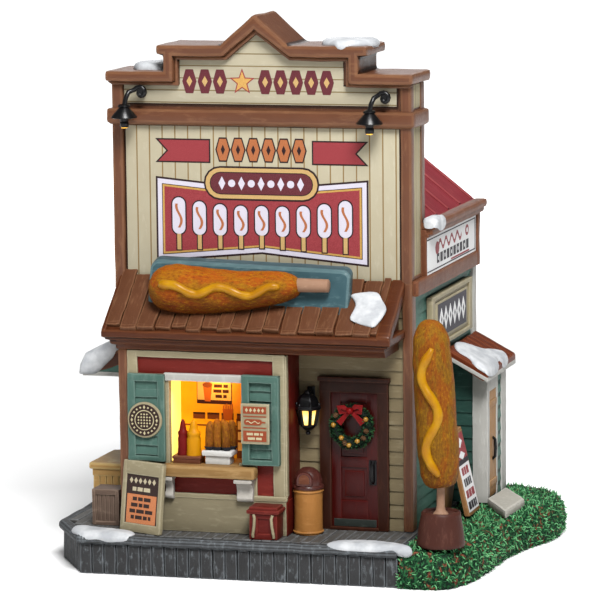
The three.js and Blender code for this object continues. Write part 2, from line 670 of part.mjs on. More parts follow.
// Patches of snow lying on the ledges and roofs.
function snow() {
  const cornice = STEP.low + 3.9;
  piece("snow_cornice_left", drift([-50.8, 12, cornice + 0.1], [9.4, 13, 3.4]), SNOW);
  piece("snow_cornice_right", drift([15.6, 11, STEP.high + 4.3], [17, 15, 3.2]), SNOW);
  const awning = Math.atan2(8, 17.4);
  piece("snow_awning", drift([-73.4, 18, 67.8], [13, 22, 4.4], 0, -awning), SNOW);
  const lean = Math.atan2(8, 14.9);
  piece("snow_shed", drift([47, 57, 64.7], [12, 20, 2.2], 0, lean), SNOW);
}

base();
walls();
bay();
counterGoods();
doorway();
porch();
falseFront();
barnLamps();
roofSign();
potDisplay();
deckGoods();
sideAwning();
sideSigns();
mainRoof();
shed();
snow();

// The origin is the middle of the footprint, on the table.
const extent = new THREE.Box3().setFromObject(model);
const middle = extent.getCenter(new THREE.Vector3());
model.position.set(-Math.round(middle.x * 10) / 10, -Math.round(middle.y * 10) / 10, -extent.min.z);

export default model;
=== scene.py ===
# A painted ceramic village shop that lights up: a corn dog stand with a false front and a deck.
# Shapes are laid out in the maker's millimetres: X right along the shop front, Y back from the
# sign's face, Z up from the table; cast_in() carries them into the model's metres.
import random
from math import atan2, cos, pi, radians, sin, tan

import bmesh
import bpy
from mathutils import Euler, Matrix, Vector, noise


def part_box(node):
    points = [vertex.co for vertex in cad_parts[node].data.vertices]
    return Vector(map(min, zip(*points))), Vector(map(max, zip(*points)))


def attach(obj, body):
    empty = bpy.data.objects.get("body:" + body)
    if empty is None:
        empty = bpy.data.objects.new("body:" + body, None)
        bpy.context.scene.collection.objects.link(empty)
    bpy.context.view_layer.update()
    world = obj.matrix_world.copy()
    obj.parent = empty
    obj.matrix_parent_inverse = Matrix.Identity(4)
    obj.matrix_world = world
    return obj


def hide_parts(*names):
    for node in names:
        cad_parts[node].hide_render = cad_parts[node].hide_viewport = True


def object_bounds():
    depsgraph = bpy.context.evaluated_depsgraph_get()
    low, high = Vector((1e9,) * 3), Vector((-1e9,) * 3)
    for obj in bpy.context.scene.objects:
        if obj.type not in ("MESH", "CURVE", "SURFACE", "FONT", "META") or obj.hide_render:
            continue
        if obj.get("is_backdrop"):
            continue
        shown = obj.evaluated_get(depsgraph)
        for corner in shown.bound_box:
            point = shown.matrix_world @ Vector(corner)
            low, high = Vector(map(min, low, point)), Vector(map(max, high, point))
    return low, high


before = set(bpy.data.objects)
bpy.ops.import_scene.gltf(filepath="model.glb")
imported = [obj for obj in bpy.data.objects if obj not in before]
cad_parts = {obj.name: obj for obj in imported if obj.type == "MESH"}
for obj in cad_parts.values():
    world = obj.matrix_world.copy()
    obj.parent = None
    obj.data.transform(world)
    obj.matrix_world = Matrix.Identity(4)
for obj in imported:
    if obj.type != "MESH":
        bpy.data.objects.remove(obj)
cad_low, cad_high = (Vector(corner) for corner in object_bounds())

# The table and the studio light. A pale matt round table whose outer part is lit from below, as in
# catalogue pictures; one big soft lamp high in front, a weak one on the left, and one overhead.
SIGN_CORNER = Vector((-0.064, 0.0, 0.0963))  # the sign board's low corner, from the shop's own zero
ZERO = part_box("sign_front")[0] - SIGN_CORNER


def place(x, y, z):
    """The shop's own millimetres as a point of the model."""
    return ZERO + Vector((x, y, z)) / 1000


def ink(code, depth=1.0):
    """A paint chip's colour, from its hexadecimal code, as linear light; less depth makes it darker."""
    parts = [int(code[i : i + 2], 16) / 255 for i in (1, 3, 5)]
    linear = [p / 12.92 if p < 0.04045 else ((p + 0.055) / 1.055) ** 2.4 for p in parts]
    return tuple(depth * p for p in linear) + (1.0,)


def linked(name, data):
    """An object for a mesh, a lamp or a camera, put in the scene."""
    thing = bpy.data.objects.new(name, data)
    bpy.context.collection.objects.link(thing)
    return thing


def disc(u, v, r, count=28, tall=1.0):
    """Points evenly round a circle."""
    turns = [2 * pi * i / count for i in range(count)]
    return [(u + r * cos(t), v + tall * r * sin(t)) for t in turns]


def added(tree, kind, settings, sockets):
    """A node added to a tree, with its settings, and each socket linked or given a value."""
    made = tree.nodes.new(kind)
    for key, value in settings.items():
        setattr(made, key, value)
    for key, value in sockets.items():
        if isinstance(value, bpy.types.NodeSocket):
            tree.links.new(value, made.inputs[key])
        else:
            made.inputs[key].default_value = value
    return made.outputs


def operator(operation):
    """A Python operator that adds a Math node."""
    return lambda wire, other: wire.maths(operation, wire, other)


class Wire:
    """A socket in a finish, on which arithmetic adds Math nodes."""

    def __init__(self, finish, socket):
        self.finish, self.socket = finish, socket

    def maths(self, operation, *values):
        return self.finish.node("Math", {"operation": operation}, dict(enumerate(values)))

    __add__, __sub__, __mul__ = operator("ADD"), operator("SUBTRACT"), operator("MULTIPLY")
    __truediv__, __lt__ = operator("DIVIDE"), operator("LESS_THAN")

    def clear(self):
        """The value held between 0 and 1."""
        return self.finish.node("Clamp", {}, {0: self})

    def ramp(self, low, high):
        """0 up to low, 1 from high, and smooth between them."""
        settings = {"interpolation_type": "SMOOTHSTEP"}
        return self.finish.node("MapRange", settings, {0: self, 1: low, 2: high})


class Finish:
    """One paint: its material, and the one way of adding a node to it."""

    def __init__(self, name):
        self.material = bpy.data.materials.new(name)
        self.material.use_nodes = True
        self.tree = self.material.node_tree
        self.tree.nodes.clear()

    def node(self, kind, settings, sockets, out=0):
        plain = {key: value.socket if isinstance(value, Wire) else value for key, value in sockets.items()}
        outputs = added(self.tree, "ShaderNode" + kind, settings, plain)
        return Wire(self, outputs[out]) if outputs else None

    def where(self, stretch=(1, 1, 1)):
        """The place on the piece in millimetres, stretched along each axis."""
        spot = self.node("TexCoord", {}, {}, "Object")
        return self.node("Mapping", {}, {"Vector": spot, "Scale": [1000 * s for s in stretch]})

    def axis(self, letter):
        """How far along one axis of the model the place is, in millimetres."""
        return self.node("SeparateXYZ", {}, {0: self.where()}, letter)

    def grain(self, size, detail=3.0, stretch=(1, 1, 1), rough=0.55):
        """Soft cloudy noise, with lumps of about size millimetres."""
        values = {"Vector": self.where(stretch), "Scale": 1 / size, "Detail": detail, "Roughness": rough}
        return self.node("TexNoise", {}, values)

    def mesh_mark(self, name):
        """A piece's own mark, such as "edge": 1 on outer edges and -1 in inner corners."""
        return self.node("Attribute", {"attribute_name": name}, {}, "Fac")

    def mix(self, share, first, second):
        sockets = {0: share, 6: first, 7: second}
        return self.node("Mix", {"data_type": "RGBA", "clamp_factor": True}, sockets, 2)

    def relief(self, height, depth):
        """A bumpy surface, with a height from 0 to 1 that stands for depth millimetres."""
        return self.node("Bump", {}, {"Strength": 1.0, "Distance": depth / 1000, "Height": height})

    def coat(self, colour, roughness, normal=None, glaze=0.0, glow=None, power=0.0):
        """Closes the finish with its surface shader."""
        sockets = {"Base Color": colour, "Roughness": roughness, "Coat Weight": glaze}
        sockets["Coat Roughness"] = 0.25
        sockets["Specular IOR Level"] = 0.13
        if normal is not None:
            sockets["Normal"] = normal
        if glow is not None:
            sockets["Emission Color"] = glow
            sockets["Emission Strength"] = power
        shader = self.node("BsdfPrincipled", {}, sockets)
        self.node("OutputMaterial", {}, {"Surface": shader})
        return self.material


TABLE_RADIUS, TABLE_DROP = 4.0, 0.0001  # metres
table_paint = Finish("table_top")
table_tone = table_paint.mix(table_paint.grain(60), ink("#e6e6e6"), ink("#eaeaea"))
reach = table_paint.node("VectorMath", {"operation": "LENGTH"}, {0: table_paint.where()}, "Value")
lit_from_below = table_paint.mix(reach.ramp(350, 1000), ink("#000000"), ink("#ffffff"))
table_mesh = bpy.data.meshes.new("table_top")
table_mesh.from_pydata([(x, y, -TABLE_DROP) for x, y in disc(0, 0, TABLE_RADIUS, 72)], [], [range(72)])
table_mesh.materials.append(table_paint.coat(table_tone, 0.9, None, 0.0, lit_from_below, 1.0))
linked("table_top", table_mesh)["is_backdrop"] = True

room = bpy.data.worlds.new("room")
room.use_nodes = True
room_light = room.node_tree.nodes["Background"].inputs
room_light["Color"].default_value = (1.0, 1.0, 1.0, 1.0)
room_light["Strength"].default_value = 0.13
bpy.context.scene.world = room
bpy.context.scene.view_settings.view_transform = "Standard"


def softbox(name, spot, size, power):
    """A square studio lamp that looks at the middle of the shop."""
    lamp = bpy.data.lights.new(name, "AREA")
    lamp.size, lamp.energy = size, power
    way = Vector((0, 0, 0.09)) - Vector(spot)
    aim = way.to_track_quat("-Z", "Y").to_matrix().to_4x4()
    linked(name, lamp).matrix_world = Matrix.Translation(spot) @ aim


softbox("key_light", (0.42, -0.82, 1.1), 0.5, 35)
softbox("fill_light", (-0.9, -0.7, 0.6), 0.6, 1.0)
softbox("top_light", (0.2, 0.4, 1.2), 0.9, 5)
softbox("rear_light", (-0.5, 1.2, 0.7), 0.7, 3)

AIM_HEIGHT, CAMERA_DISTANCE = 90.124, 1.166667  # millimetres and metres
lens = bpy.data.cameras.new("catalogue_view")
lens.lens, lens.sensor_width, lens.clip_start = 210, 36, 0.01
camera = linked("catalogue_view", lens)
view = Euler((radians(82), 0, radians(16.5))).to_matrix() @ Matrix.Rotation(radians(-0.57), 3, "Z")
stand = place(0, 0, AIM_HEIGHT) + view.col[2] * CAMERA_DISTANCE
camera.matrix_world = Matrix.Translation(stand) @ view.to_4x4()
bpy.context.scene.camera = camera


# The deck's skirt. Upright boards cast in one with the base, grey stone-ware paint with a pale
# blue-grey dry brush over the grain, and a dark core in the gaps between them: wash and painted shade.
def painted(
    name, base, light, dark, stretch=(1, 1, 1), brush=0.5, gloss=0.55, relief=0.12, size=1.6,
    lines=None, glaze=0.0,
):
    """Ceramic paint: a clouded base coat, a light dry brush, a dark wash, and brush marks, with a painted highlight
    on outer edges and painted shade in inner corners.
    """
    paint = Finish(name)
    base, light, dark = ink(base, 0.5), ink(light, 0.54), ink(dark, 0.4)
    cloud = paint.grain(14, 4.0).ramp(0.3, 0.7)
    streak = paint.grain(size, 5.0, stretch, 0.65)
    coat = paint.mix(cloud * 0.35, base, [0.62 * b + 0.38 * d for b, d in zip(base, dark)])
    paler = [0.7 * b + 0.3 * l for b, l in zip(base, light)]
    coat = paint.mix((paint.grain(6, 3.0) - 0.35) * 0.4, coat, paler)
    coat = paint.mix(streak.ramp(0.52, 0.72) * brush, coat, light)
    edge = paint.mesh_mark("edge")
    # outer edges paler: dry brush and a painted highlight
    coat = paint.mix((edge * (streak * 1.3 + 0.1)).clear() * 0.45, coat, light)
    # inner corners darker: dark wash and painted shade
    coat = paint.mix((edge * -0.9).clear(), coat, dark)
    height = streak
    if lines is not None:
        mark = lines(paint)
        coat = paint.mix(mark, coat, dark)
        height = streak - mark * 2.0
    roughness = paint.grain(3, 2.0) * 0.16 + (gloss - 0.08)
    return paint.coat(coat, roughness, paint.relief(height, relief), glaze)


def mesh_of(shape, name="form"):
    """A loose shape turned into a mesh."""
    mesh = bpy.data.meshes.new(name)
    shape.to_mesh(mesh)
    shape.free()
    return mesh


def several(whole, *others):
    """Loose shapes gathered into the first of them."""
    for other in others:
        bridge = mesh_of(other)
        whole.from_mesh(bridge)
        bpy.data.meshes.remove(bridge)
    return whole


def soften(shape, radius, angle=32):
    """Rounds every corner, as glaze and casting do, and marks outer edges and inner corners."""
    mark = shape.faces.layers.float.get("edge") or shape.faces.layers.float.new("edge")
    shape.normal_update()
    for outer, value in ((True, 1.0), (False, -1.0)):
        sharp = [
            e
            for e in shape.edges
            if len(e.link_faces) == 2
            and e.calc_face_angle(0) > radians(angle)
            and e.is_convex == outer
            and all(f[mark] == 0 for f in e.link_faces)
        ]
        if sharp:
            ways = {"affect": "EDGES", "profile": 0.6, "clamp_overlap": True}
            made = bmesh.ops.bevel(shape, geom=sharp, offset=radius, segments=2, **ways)
            for face in made["faces"]:
                face[mark] = value
    return shape


def sliced(shape, step):
    """Cuts a shape across every step millimetres each way, so that it can be uneven."""
    low = [min(v.co[i] for v in shape.verts) for i in range(3)]
    high = [max(v.co[i] for v in shape.verts) for i in range(3)]
    for i in range(3):
        count = int((high[i] - low[i]) / step)
        for k in range(1, count):
            point = Vector(low)
            point[i] = low[i] + (high[i] - low[i]) * k / count
            across_it = {"plane_co": point, "plane_no": [float(j == i) for j in range(3)]}
            whole = shape.verts[:] + shape.edges[:] + shape.faces[:]
            bmesh.ops.bisect_plane(shape, geom=whole, **across_it)
    return shape


def finished(shape, edge=0.0, step=0, tint=0, angle=32):
    """Faces a shape outwards, rounds it, cuts it across, and picks its paint."""
    bmesh.ops.recalc_face_normals(shape, faces=shape.faces)
    if edge:
        soften(shape, edge, angle)
    if step:
        sliced(shape, step)
    for face in shape.faces:
        face.material_index = tint
    return shape


def board(low, high, edge=0.35, step=0, tint=0):
    """One board with softened edges, from its low corner to its high one."""
    shape = bmesh.new()
    bmesh.ops.create_cube(shape, size=1)
    for v in shape.verts:
        v.co = Vector([low[i] + (v.co[i] + 0.5) * (high[i] - low[i]) for i in range(3)])
    soften(shape, min(edge, 0.45 * min(high[i] - low[i] for i in range(3))))
    return finished(shape, 0, step, tint)


def prism(outline, upright, low, high, edge=0.3, step=0, tint=0):
    """An outline of (u, v) points with a thickness; upright(u, v, w) sets each point in place."""
    shape = bmesh.new()
    near, far = ([shape.verts.new(upright(u, v, w)) for u, v in outline] for w in (low, high))
    shape.faces.new(near)
    shape.faces.new(far[::-1])
    for i in range(len(outline)):
        k = (i + 1) % len(outline)
        shape.faces.new((near[i], far[i], far[k], near[k]))
    return finished(shape, edge, step, tint)


def facing_up(u, v, w):
    """For a plan outline raised from one height to another."""
    return (u, v, w)


def turned_about(shape, point, x=0.0, y=0.0, z=0.0):
    """The shape turned about a point, in degrees."""
    swing = Euler([radians(a) for a in (x, y, z)]).to_matrix().to_4x4()
    middle = Matrix.Translation(point)
    bmesh.ops.transform(shape, matrix=middle @ swing @ middle.inverted(), verts=shape.verts)
    return shape


noise.seed_set(5)  # so that the casting is uneven in the same way each time


def cast_in(name, shape, paints, stands_for=(), uneven=0.0, lump=7.0, smooth=40):
    """Names a shape, or several together, paints it, and fixes it to the casting in its place."""
    shape = several(*shape) if isinstance(shape, list) else shape
    mesh = mesh_of(shape, name) if isinstance(shape, bmesh.types.BMesh) else shape
    for vertex in mesh.vertices:
        if uneven:
            vertex.co += noise.noise_vector(vertex.co / lump) * uneven
        spot = place(*vertex.co)
        vertex.co = [min(max(c, low), high) for c, low, high in zip(spot, cad_low, cad_high)]
    if not mesh.materials:
        for paint in paints:
            mesh.materials.append(paint)
    mesh.polygons.foreach_set("use_smooth", [True] * len(mesh.polygons))
    mesh.set_sharp_from_angle(angle=radians(smooth))
    piece = linked(name, mesh)
    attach(piece, "root")
    if stands_for:
        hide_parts(*stands_for)


class PieceTree:
    """A node tree that sets out copies of a pattern piece, and the one way of adding a node to it."""

    def __init__(self, name, plugs):
        self.tree = bpy.data.node_groups.new(name, "GeometryNodeTree")
        kinds = {"Geometry": "Geometry", "Pattern piece": "Object", **plugs, "Seed": "Int", "Paint": "Material"}
        for plug, kind in kinds.items():
            self.tree.interface.new_socket(plug, in_out="INPUT", socket_type="NodeSocket" + kind)
        self.tree.interface.new_socket("Geometry", in_out="OUTPUT", socket_type="NodeSocketGeometry")
        self.plugs = self.tree.nodes.new("NodeGroupInput").outputs

    def node(self, kind, sockets, **settings):
        return added(self.tree, kind, settings, sockets)

    def chance(self, least, most):
        """A random number for each copy."""
        limits = {2: least, 3: most, "Seed": self.plugs["Seed"]}
        return self.node("FunctionNodeRandomValue", limits, data_type="FLOAT")[1]

    def swing(self, *corners):
        """A random turn for each copy, between two corners of three angles each."""
        least, most = (self.node("ShaderNodeCombineXYZ", dict(enumerate(angles)))[0] for angles in corners)
        limits = {"Min": least, "Max": most, "Seed": self.plugs["Seed"]}
        return self.node("FunctionNodeRandomValue", limits, data_type="FLOAT_VECTOR")[0]

    def set_out(self, points, turn, scale):
        """The copies on their points, each with its own tone, as one plain painted mesh."""
        pattern = self.node("GeometryNodeObjectInfo", {"Object": self.plugs["Pattern piece"]})["Geometry"]
        spots = {"Points": points, "Instance": pattern, "Rotation": turn, "Scale": scale}
        copies = self.node("GeometryNodeInstanceOnPoints", spots)[0]
        tone = {"Geometry": copies, "Name": "tone", "Value": self.chance(0.0, 1.0)}
        toned = self.node("GeometryNodeStoreNamedAttribute", tone, data_type="FLOAT", domain="INSTANCE")[0]
        solid = self.node("GeometryNodeRealizeInstances", {"Geometry": toned})[0]
        coat = {"Geometry": solid, "Material": self.plugs["Paint"]}
        dressed = self.node("GeometryNodeSetMaterial", coat)[0]
        self.tree.links.new(dressed, self.tree.nodes.new("NodeGroupOutput").inputs["Geometry"])
        return self.tree


def laying_tree():
    """Lays copies of the pattern piece on the points of a mesh, each a little askew."""
    nodes = PieceTree("lay_pieces", {"Tilt": "Float", "Uneven": "Float"})
    facing, stretch = (
        nodes.node("GeometryNodeInputNamedAttribute", {"Name": name}, data_type="FLOAT_VECTOR")["Attribute"]
        for name in ("facing", "stretch")
    )
    tilt = nodes.plugs["Tilt"]
    back = nodes.node("ShaderNodeMath", {0: tilt, 1: -1.0}, operation="MULTIPLY")[0]
    sway = nodes.swing([back] * 3, [tilt] * 3)
    turn = nodes.node("ShaderNodeVectorMath", {0: facing, 1: sway}, operation="ADD")[0]
    least = nodes.node("ShaderNodeMath", {0: 1.0, 1: nodes.plugs["Uneven"]}, operation="SUBTRACT")[0]
    size = {0: stretch, "Scale": nodes.chance(least, 1.0)}
    scale = nodes.node("ShaderNodeVectorMath", size, operation="SCALE")[0]
    return nodes.set_out(nodes.plugs["Geometry"], turn, scale)


lay_pieces = laying_tree()


def evaluated(thing, *helpers, layers=False):
    """The plain mesh that an object's modifiers make; the object and its helpers are then removed."""
    bpy.context.view_layer.update()
    graph = bpy.context.evaluated_depsgraph_get()
    kept = {"preserve_all_data_layers": layers, "depsgraph": graph}
    mesh = bpy.data.meshes.new_from_object(thing.evaluated_get(graph), **kept)
    for spent in (thing, *helpers):
        bpy.data.objects.remove(spent)
    return mesh


def arranged(tree, pattern, carrier_mesh, inputs):
    """The mesh that a piece tree makes of a pattern shape and a carrier, its inputs set by identifier."""
    pattern_piece, carrier = linked("pattern", mesh_of(pattern)), linked("carrier", carrier_mesh)
    modifier = carrier.modifiers.new("laid", "NODES")
    modifier.node_group = tree
    plugs = {p.name: p.identifier for p in tree.interface.items_tree if p.in_out == "INPUT"}
    for name, value in {"Pattern piece": pattern_piece, **inputs}.items():
        modifier[plugs[name]] = value
    return evaluated(carrier, pattern_piece, layers=True)


def laid(pattern, spots, paint, tilt=0.0, uneven=0.0, seed=1):
    """Copies of a pattern shape at the given (point, facing, stretch) spots, as one mesh."""
    carrier = bpy.data.meshes.new("carrier")
    carrier.from_pydata([s[0] for s in spots], [], [])
    for row, name in ((1, "facing"), (2, "stretch")):
        layer = carrier.attributes.new(name, "FLOAT_VECTOR", "POINT")
        layer.data.foreach_set("vector", [c for s in spots for c in s[row]])
    inputs = {"Tilt": radians(tilt), "Uneven": uneven, "Seed": seed, "Paint": paint}
    return arranged(lay_pieces, pattern, carrier, inputs)


DECK_TOP, LIP_LOW, RIGHT_EDGE = 13.2, 10.2, 40.3
SKIRT = [(-68.8, -29.8), (RIGHT_EDGE, -26.8), (RIGHT_EDGE, 95), (-83, 95), (-83, -7.5)]
BOARD_PITCH, BOARD_INSET = 4.15, 0.62
skirt_paint = painted("skirt_grey", "#434344", "#8b9297", "#0e0d0c", (0.9, 0.9, 0.45), 0.62, 0.6, 0.25, 1.3)
# a near-black core seen in the gaps between the boards: dark wash and painted shade
gap_wash_and_shade = painted("gap_wash_and_shade", "#262523", "#34322f", "#121110", brush=0.2)
skirt_core = prism([(x * 0.985 - 0.3, 33 + (y - 33) * 0.985) for x, y in SKIRT], facing_up, 0.0, LIP_LOW, 0)
cast_in("skirt_core", skirt_core, [gap_wash_and_shade], ["deck_skirt"])

skirt_spots = []
for start, end in zip(SKIRT, SKIRT[1:] + SKIRT[:1]):
    if start[0] == end[0] == RIGHT_EDGE:
        continue
    run = Vector((end[0] - start[0], end[1] - start[1], 0))
    count = max(2, round(run.length / BOARD_PITCH))
    inward = Vector((-run.y, run.x, 0)).normalized()
    facing = (0, 0, atan2(run.y, run.x))
    for i in range(count):
        spot = Vector((*start, 0)) + run * ((i + 0.5) / count) + inward * BOARD_INSET
        skirt_spots.append((spot, facing, (run.length / count / BOARD_PITCH, 1, 1)))
skirt_board = board((-1.93, -0.5, 0.0), (1.93, 0.9, LIP_LOW), 0.4, 1.9)
skirt_boards = laid(skirt_board, skirt_spots, skirt_paint, 0.8, 0.006, 3)
cast_in("skirt_boards", skirt_boards, [skirt_paint], [], 0.16, 2.4)

# The deck floor. Planks run straight back inside a thick rounded edge board; the same grey, with
# the edge board's upper corner dry-brushed pale: dry brush and a painted highlight.
LIP = [(-69.6, -31), (RIGHT_EDGE, -28), (RIGHT_EDGE, 96.2), (-84.2, 96.2), (-84.2, -8.4)]


def mitred(path, closed=True):
    """Each point of a path with its inward way, long enough to keep mitred sides parallel."""
    points = [Vector(p) for p in path]
    runs = [(b - a).normalized() for a, b in zip(points, points[1:] + points[:1])]
    sides = [Vector((-run.y, run.x)) for run in runs]
    last = len(points) - 2
    corners = []
    for i, here in enumerate(points):
        before, after = sides[i - 1], sides[i]
        if not closed:
            before, after = sides[max(0, i - 1)], sides[min(i, last)]
        corners.append((here, (before + after) / (1 + before.dot(after))))
    return corners


def skinned(shape, rings, closed=False):
    """Faces between each ring of points and the next."""
    for one, two in zip(rings, rings[1:] + (rings[:1] if closed else [])):
        for j in range(len(one)):
            k = (j + 1) % len(one)
            shape.faces.new((one[j], one[k], two[k], two[j]))


def pointed(shape, ring, tip, way=1):
    """Faces from a ring of points to one point."""
    for j in range(len(ring)):
        shape.faces.new((ring[j], ring[(j + 1) % len(ring)], tip)[::way])


def sweep(path, section, closed=False, edge=0.3, step=2.6):
    """A section of (in, height) points run round a plan path, its corners mitred."""
    shape = bmesh.new()
    rings = []
    for here, side in mitred(path, closed):
        spots = [(*(here + side * u), v) for u, v in section]
        rings.append([shape.verts.new(spot) for spot in spots])
    skinned(shape, rings, closed)
    if not closed:
        shape.faces.new(rings[0])
        shape.faces.new(rings[-1][::-1])
    return finished(shape, edge, step, 0, 20)


deck_paint = painted("deck_grey", "#5d5a56", "#999da0", "#1d1c19", (1, 0.22, 1), 0.5, 0.6, 0.2, 1.1)
lip_section = [(0.35, 10.3), (0.0, 11.2), (0.15, 12.3), (0.95, 13.15), (3.6, 13.2), (3.6, 10.3)]
lip_board = sweep(LIP, lip_section, True, 0.35, 2.2)
cast_in("deck_edge_board", lip_board, [skirt_paint], ["deck_floor"], 0.22, 5)

PLANK_PITCH, PLANK_LENGTH = 3.35, 30
FLOOR_LEFT, FLOOR_RIGHT, FLOOR_FRONT, FLOOR_BACK, FLOOR_BEND = -80.6, 40.2, -27.0, 92.6, -66.5
plank_spots = []
for i in range(int((FLOOR_RIGHT - FLOOR_LEFT) / PLANK_PITCH)):
    x = FLOOR_LEFT + PLANK_PITCH * (i + 0.5)
    front = FLOOR_FRONT + ((x + 69) * 0.027 if x > FLOOR_BEND else (FLOOR_BEND - x) * 1.56)
    length = FLOOR_BACK - front
    plank_spots.append(((x, front + length / 2, 12.35), (0, 0, 0), (1, length / PLANK_LENGTH, 1)))
plank = board((-1.58, -PLANK_LENGTH / 2, -0.7), (1.58, PLANK_LENGTH / 2, 0.78), 0.3, 2.0)
planks = laid(plank, plank_spots, deck_paint, 0.12, 0.004, 8)
cast_in("deck_planks", planks, [deck_paint], [], 0.1, 4)
floor_plan = [(-81, -6.5), (-67, -27.5), (38.5, -25), (38.5, 93), (-81, 93)]
# the dark core under the planks, painted shade in the gaps between them
cast_in("deck_core", prism(floor_plan, facing_up, LIP_LOW + 0.2, 12.3, 0), [gap_wash_and_shade], [])

# Snow lying on the deck's edge, one patch at the left corner and one that hangs over at the
# right. Thick white slip put on with a brush, smooth and rounded at its rim.
snow_paint = Finish("snow_white")
snow_shade = snow_paint.grain(5, 3.0).ramp(0.35, 0.7)
snow_colour = snow_paint.mix(snow_shade, ink("#b4b7bb", 0.7), ink("#d2d4d6", 0.72))
snow_rough = snow_paint.grain(1.2, 3.0) * 0.2 + 0.42
snow_paint = snow_paint.coat(snow_colour, snow_rough, snow_paint.relief(snow_paint.grain(1.6, 3.0), 0.16))
RIM_STEPS = ((0.06, -0.35), (0.0, 0.12), (0.035, 0.42), (0.12, 0.74), (0.3, 0.95), (0.6, 1.0), (0.9, 1.04))


def rounded_loop(points, count=56):
    """A closed smooth loop through a few points."""
    total = len(points)
    loop = []
    for i in range(count):
        t = i * total / count
        k, f = int(t), t - int(t)
        p0, p1, p2, p3 = (Vector(points[(k + j) % total]) for j in (-1, 0, 1, 2))
        bend, twist = 2 * p0 - 5 * p1 + 4 * p2 - p3, 3 * p1 - p0 - 3 * p2 + p3
        loop.append(0.5 * (2 * p1 + (p2 - p0) * f + bend * f * f + twist * f**3))
    return loop


def snowed(name, points, thick, lie, spine, stands_for=()):
    """A patch of snow: its rim loop drawn in towards a spine line in rounded steps.
    lie(u, v, height) sets a point of the patch down on what carries it."""
    a, b = (Vector(p) for p in spine)
    shape = bmesh.new()
    rings = []
    for drawn, rise in RIM_STEPS:
        ring = []
        for p in rounded_loop(points):
            share = min(1, max(0, (p - a).dot(b - a) / (b - a).length_squared))
            q = p.lerp(a.lerp(b, share), drawn)
            bump = 0.12 * noise.noise(Vector((q.x, q.y, 7)) / 2.6)
            ring.append(shape.verts.new(lie(q.x, q.y, thick * rise + bump * max(0, rise))))
        rings.append(ring)
    skinned(shape, rings)
    for ring, way in ((rings[0], -1), (rings[-1], 1)):
        pointed(shape, ring, shape.verts.new(sum((v.co for v in ring), Vector()) / len(ring)), way)
    cast_in(name, finished(shape), [snow_paint], stands_for, smooth=80)


def over_edge(x, y, height):
    """On the deck top, and bending down over its front edge."""
    edge = -30.2 + (x + 69.6) * 0.0273
    past = max(0.0, edge + 0.6 - y)
    return (x, max(y, edge - 0.5 - 0.55 * height), DECK_TOP - 0.1 + height - 0.9 * past)


left_patch = [
    (-73.2, -25.4), (-74, -19.5), (-71, -17.6), (-66.5, -19.6), (-60, -20.6), (-54, -22.4), (-50.4, -26),
    (-51.6, -30.6), (-57, -32.2), (-62, -31.2), (-66, -32), (-70.6, -29)]
right_patch = [
    (16.2, -26.6), (17.8, -23.4), (22.4, -20.2), (28.4, -18.4), (35, -20), (40.6, -22.6), (44.6, -26.2),
    (45.4, -28.2), (43.6, -29.2), (41.2, -28.9), (39.2, -27.8), (36.4, -27.9), (33, -28.5), (27, -28.8),
    (21.4, -28.8), (17.6, -28.2)]
snowed("snow_deck_left", left_patch, 1.1, over_edge, ((-69, -24), (-56, -27)))
snowed("snow_deck_right", right_patch, 1.1, over_edge, ((22, -24), (41, -25)))
# The lawn. A resin-like ceramic mound pressed full of short strokes of grass, dark green with the
# blade tips dry-brushed light green, partly a painted highlight, and a few specks of bare brown earth between them.
lawn_form = bmesh.new()
lawn_form.from_mesh(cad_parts["grass_mound"].data)
bmesh.ops.remove_doubles(lawn_form, verts=lawn_form.verts, dist=1e-6)
for v in lawn_form.verts:
    v.co = (v.co - ZERO) * 1000
    v.co.z = max(0, v.co.z - 0.25)
lawn_holder = linked("lawn_form", mesh_of(lawn_form))
voxels = lawn_holder.modifiers.new("even_mesh", "REMESH")
voxels.mode, voxels.voxel_size = "VOXEL", 0.8
lawn_ground = evaluated(lawn_holder)
outward = [v.normal.copy() for v in lawn_ground.vertices]
for v, way in zip(lawn_ground.vertices, outward):
    lump = noise.noise(v.co / 1.3) * 0.34 + noise.noise(v.co / 4.5) * 0.5 - 0.4
    v.co += way * lump * min(1, v.co.z / 2)

earth_paint = Finish("lawn_earth")
tuft = earth_paint.grain(0.9, 4.0, (1, 1, 0.6))
patch = earth_paint.grain(2.3, 3.0)
green = earth_paint.mix(tuft.ramp(0.45, 0.65), ink("#081f12"), ink("#235a32"))
soil = earth_paint.mix(tuft.ramp(0.4, 0.6), ink("#3a1c12"), ink("#7a4530"))
lawn_tone = earth_paint.mix(patch.ramp(0.56, 0.62), green, soil)
earth_coat = earth_paint.coat(lawn_tone, 0.7, earth_paint.relief(tuft, 0.5))
cast_in("lawn_ground", lawn_ground.copy(), [earth_coat], ["grass_mound"], smooth=180)

grass_paint = Finish("grass_blades")
blade = grass_paint.mesh_mark("tone")
height = grass_paint.mesh_mark("tip")
leaf = grass_paint.mix(blade.ramp(0.2, 0.8), ink("#164228"), ink("#2f6f41"))
# paler blade tips: dry brush and a painted highlight
leaf = grass_paint.mix(height * blade.ramp(0.45, 0.85), leaf, ink("#74b07a"))
grass_coat = grass_paint.coat(leaf, 0.6)


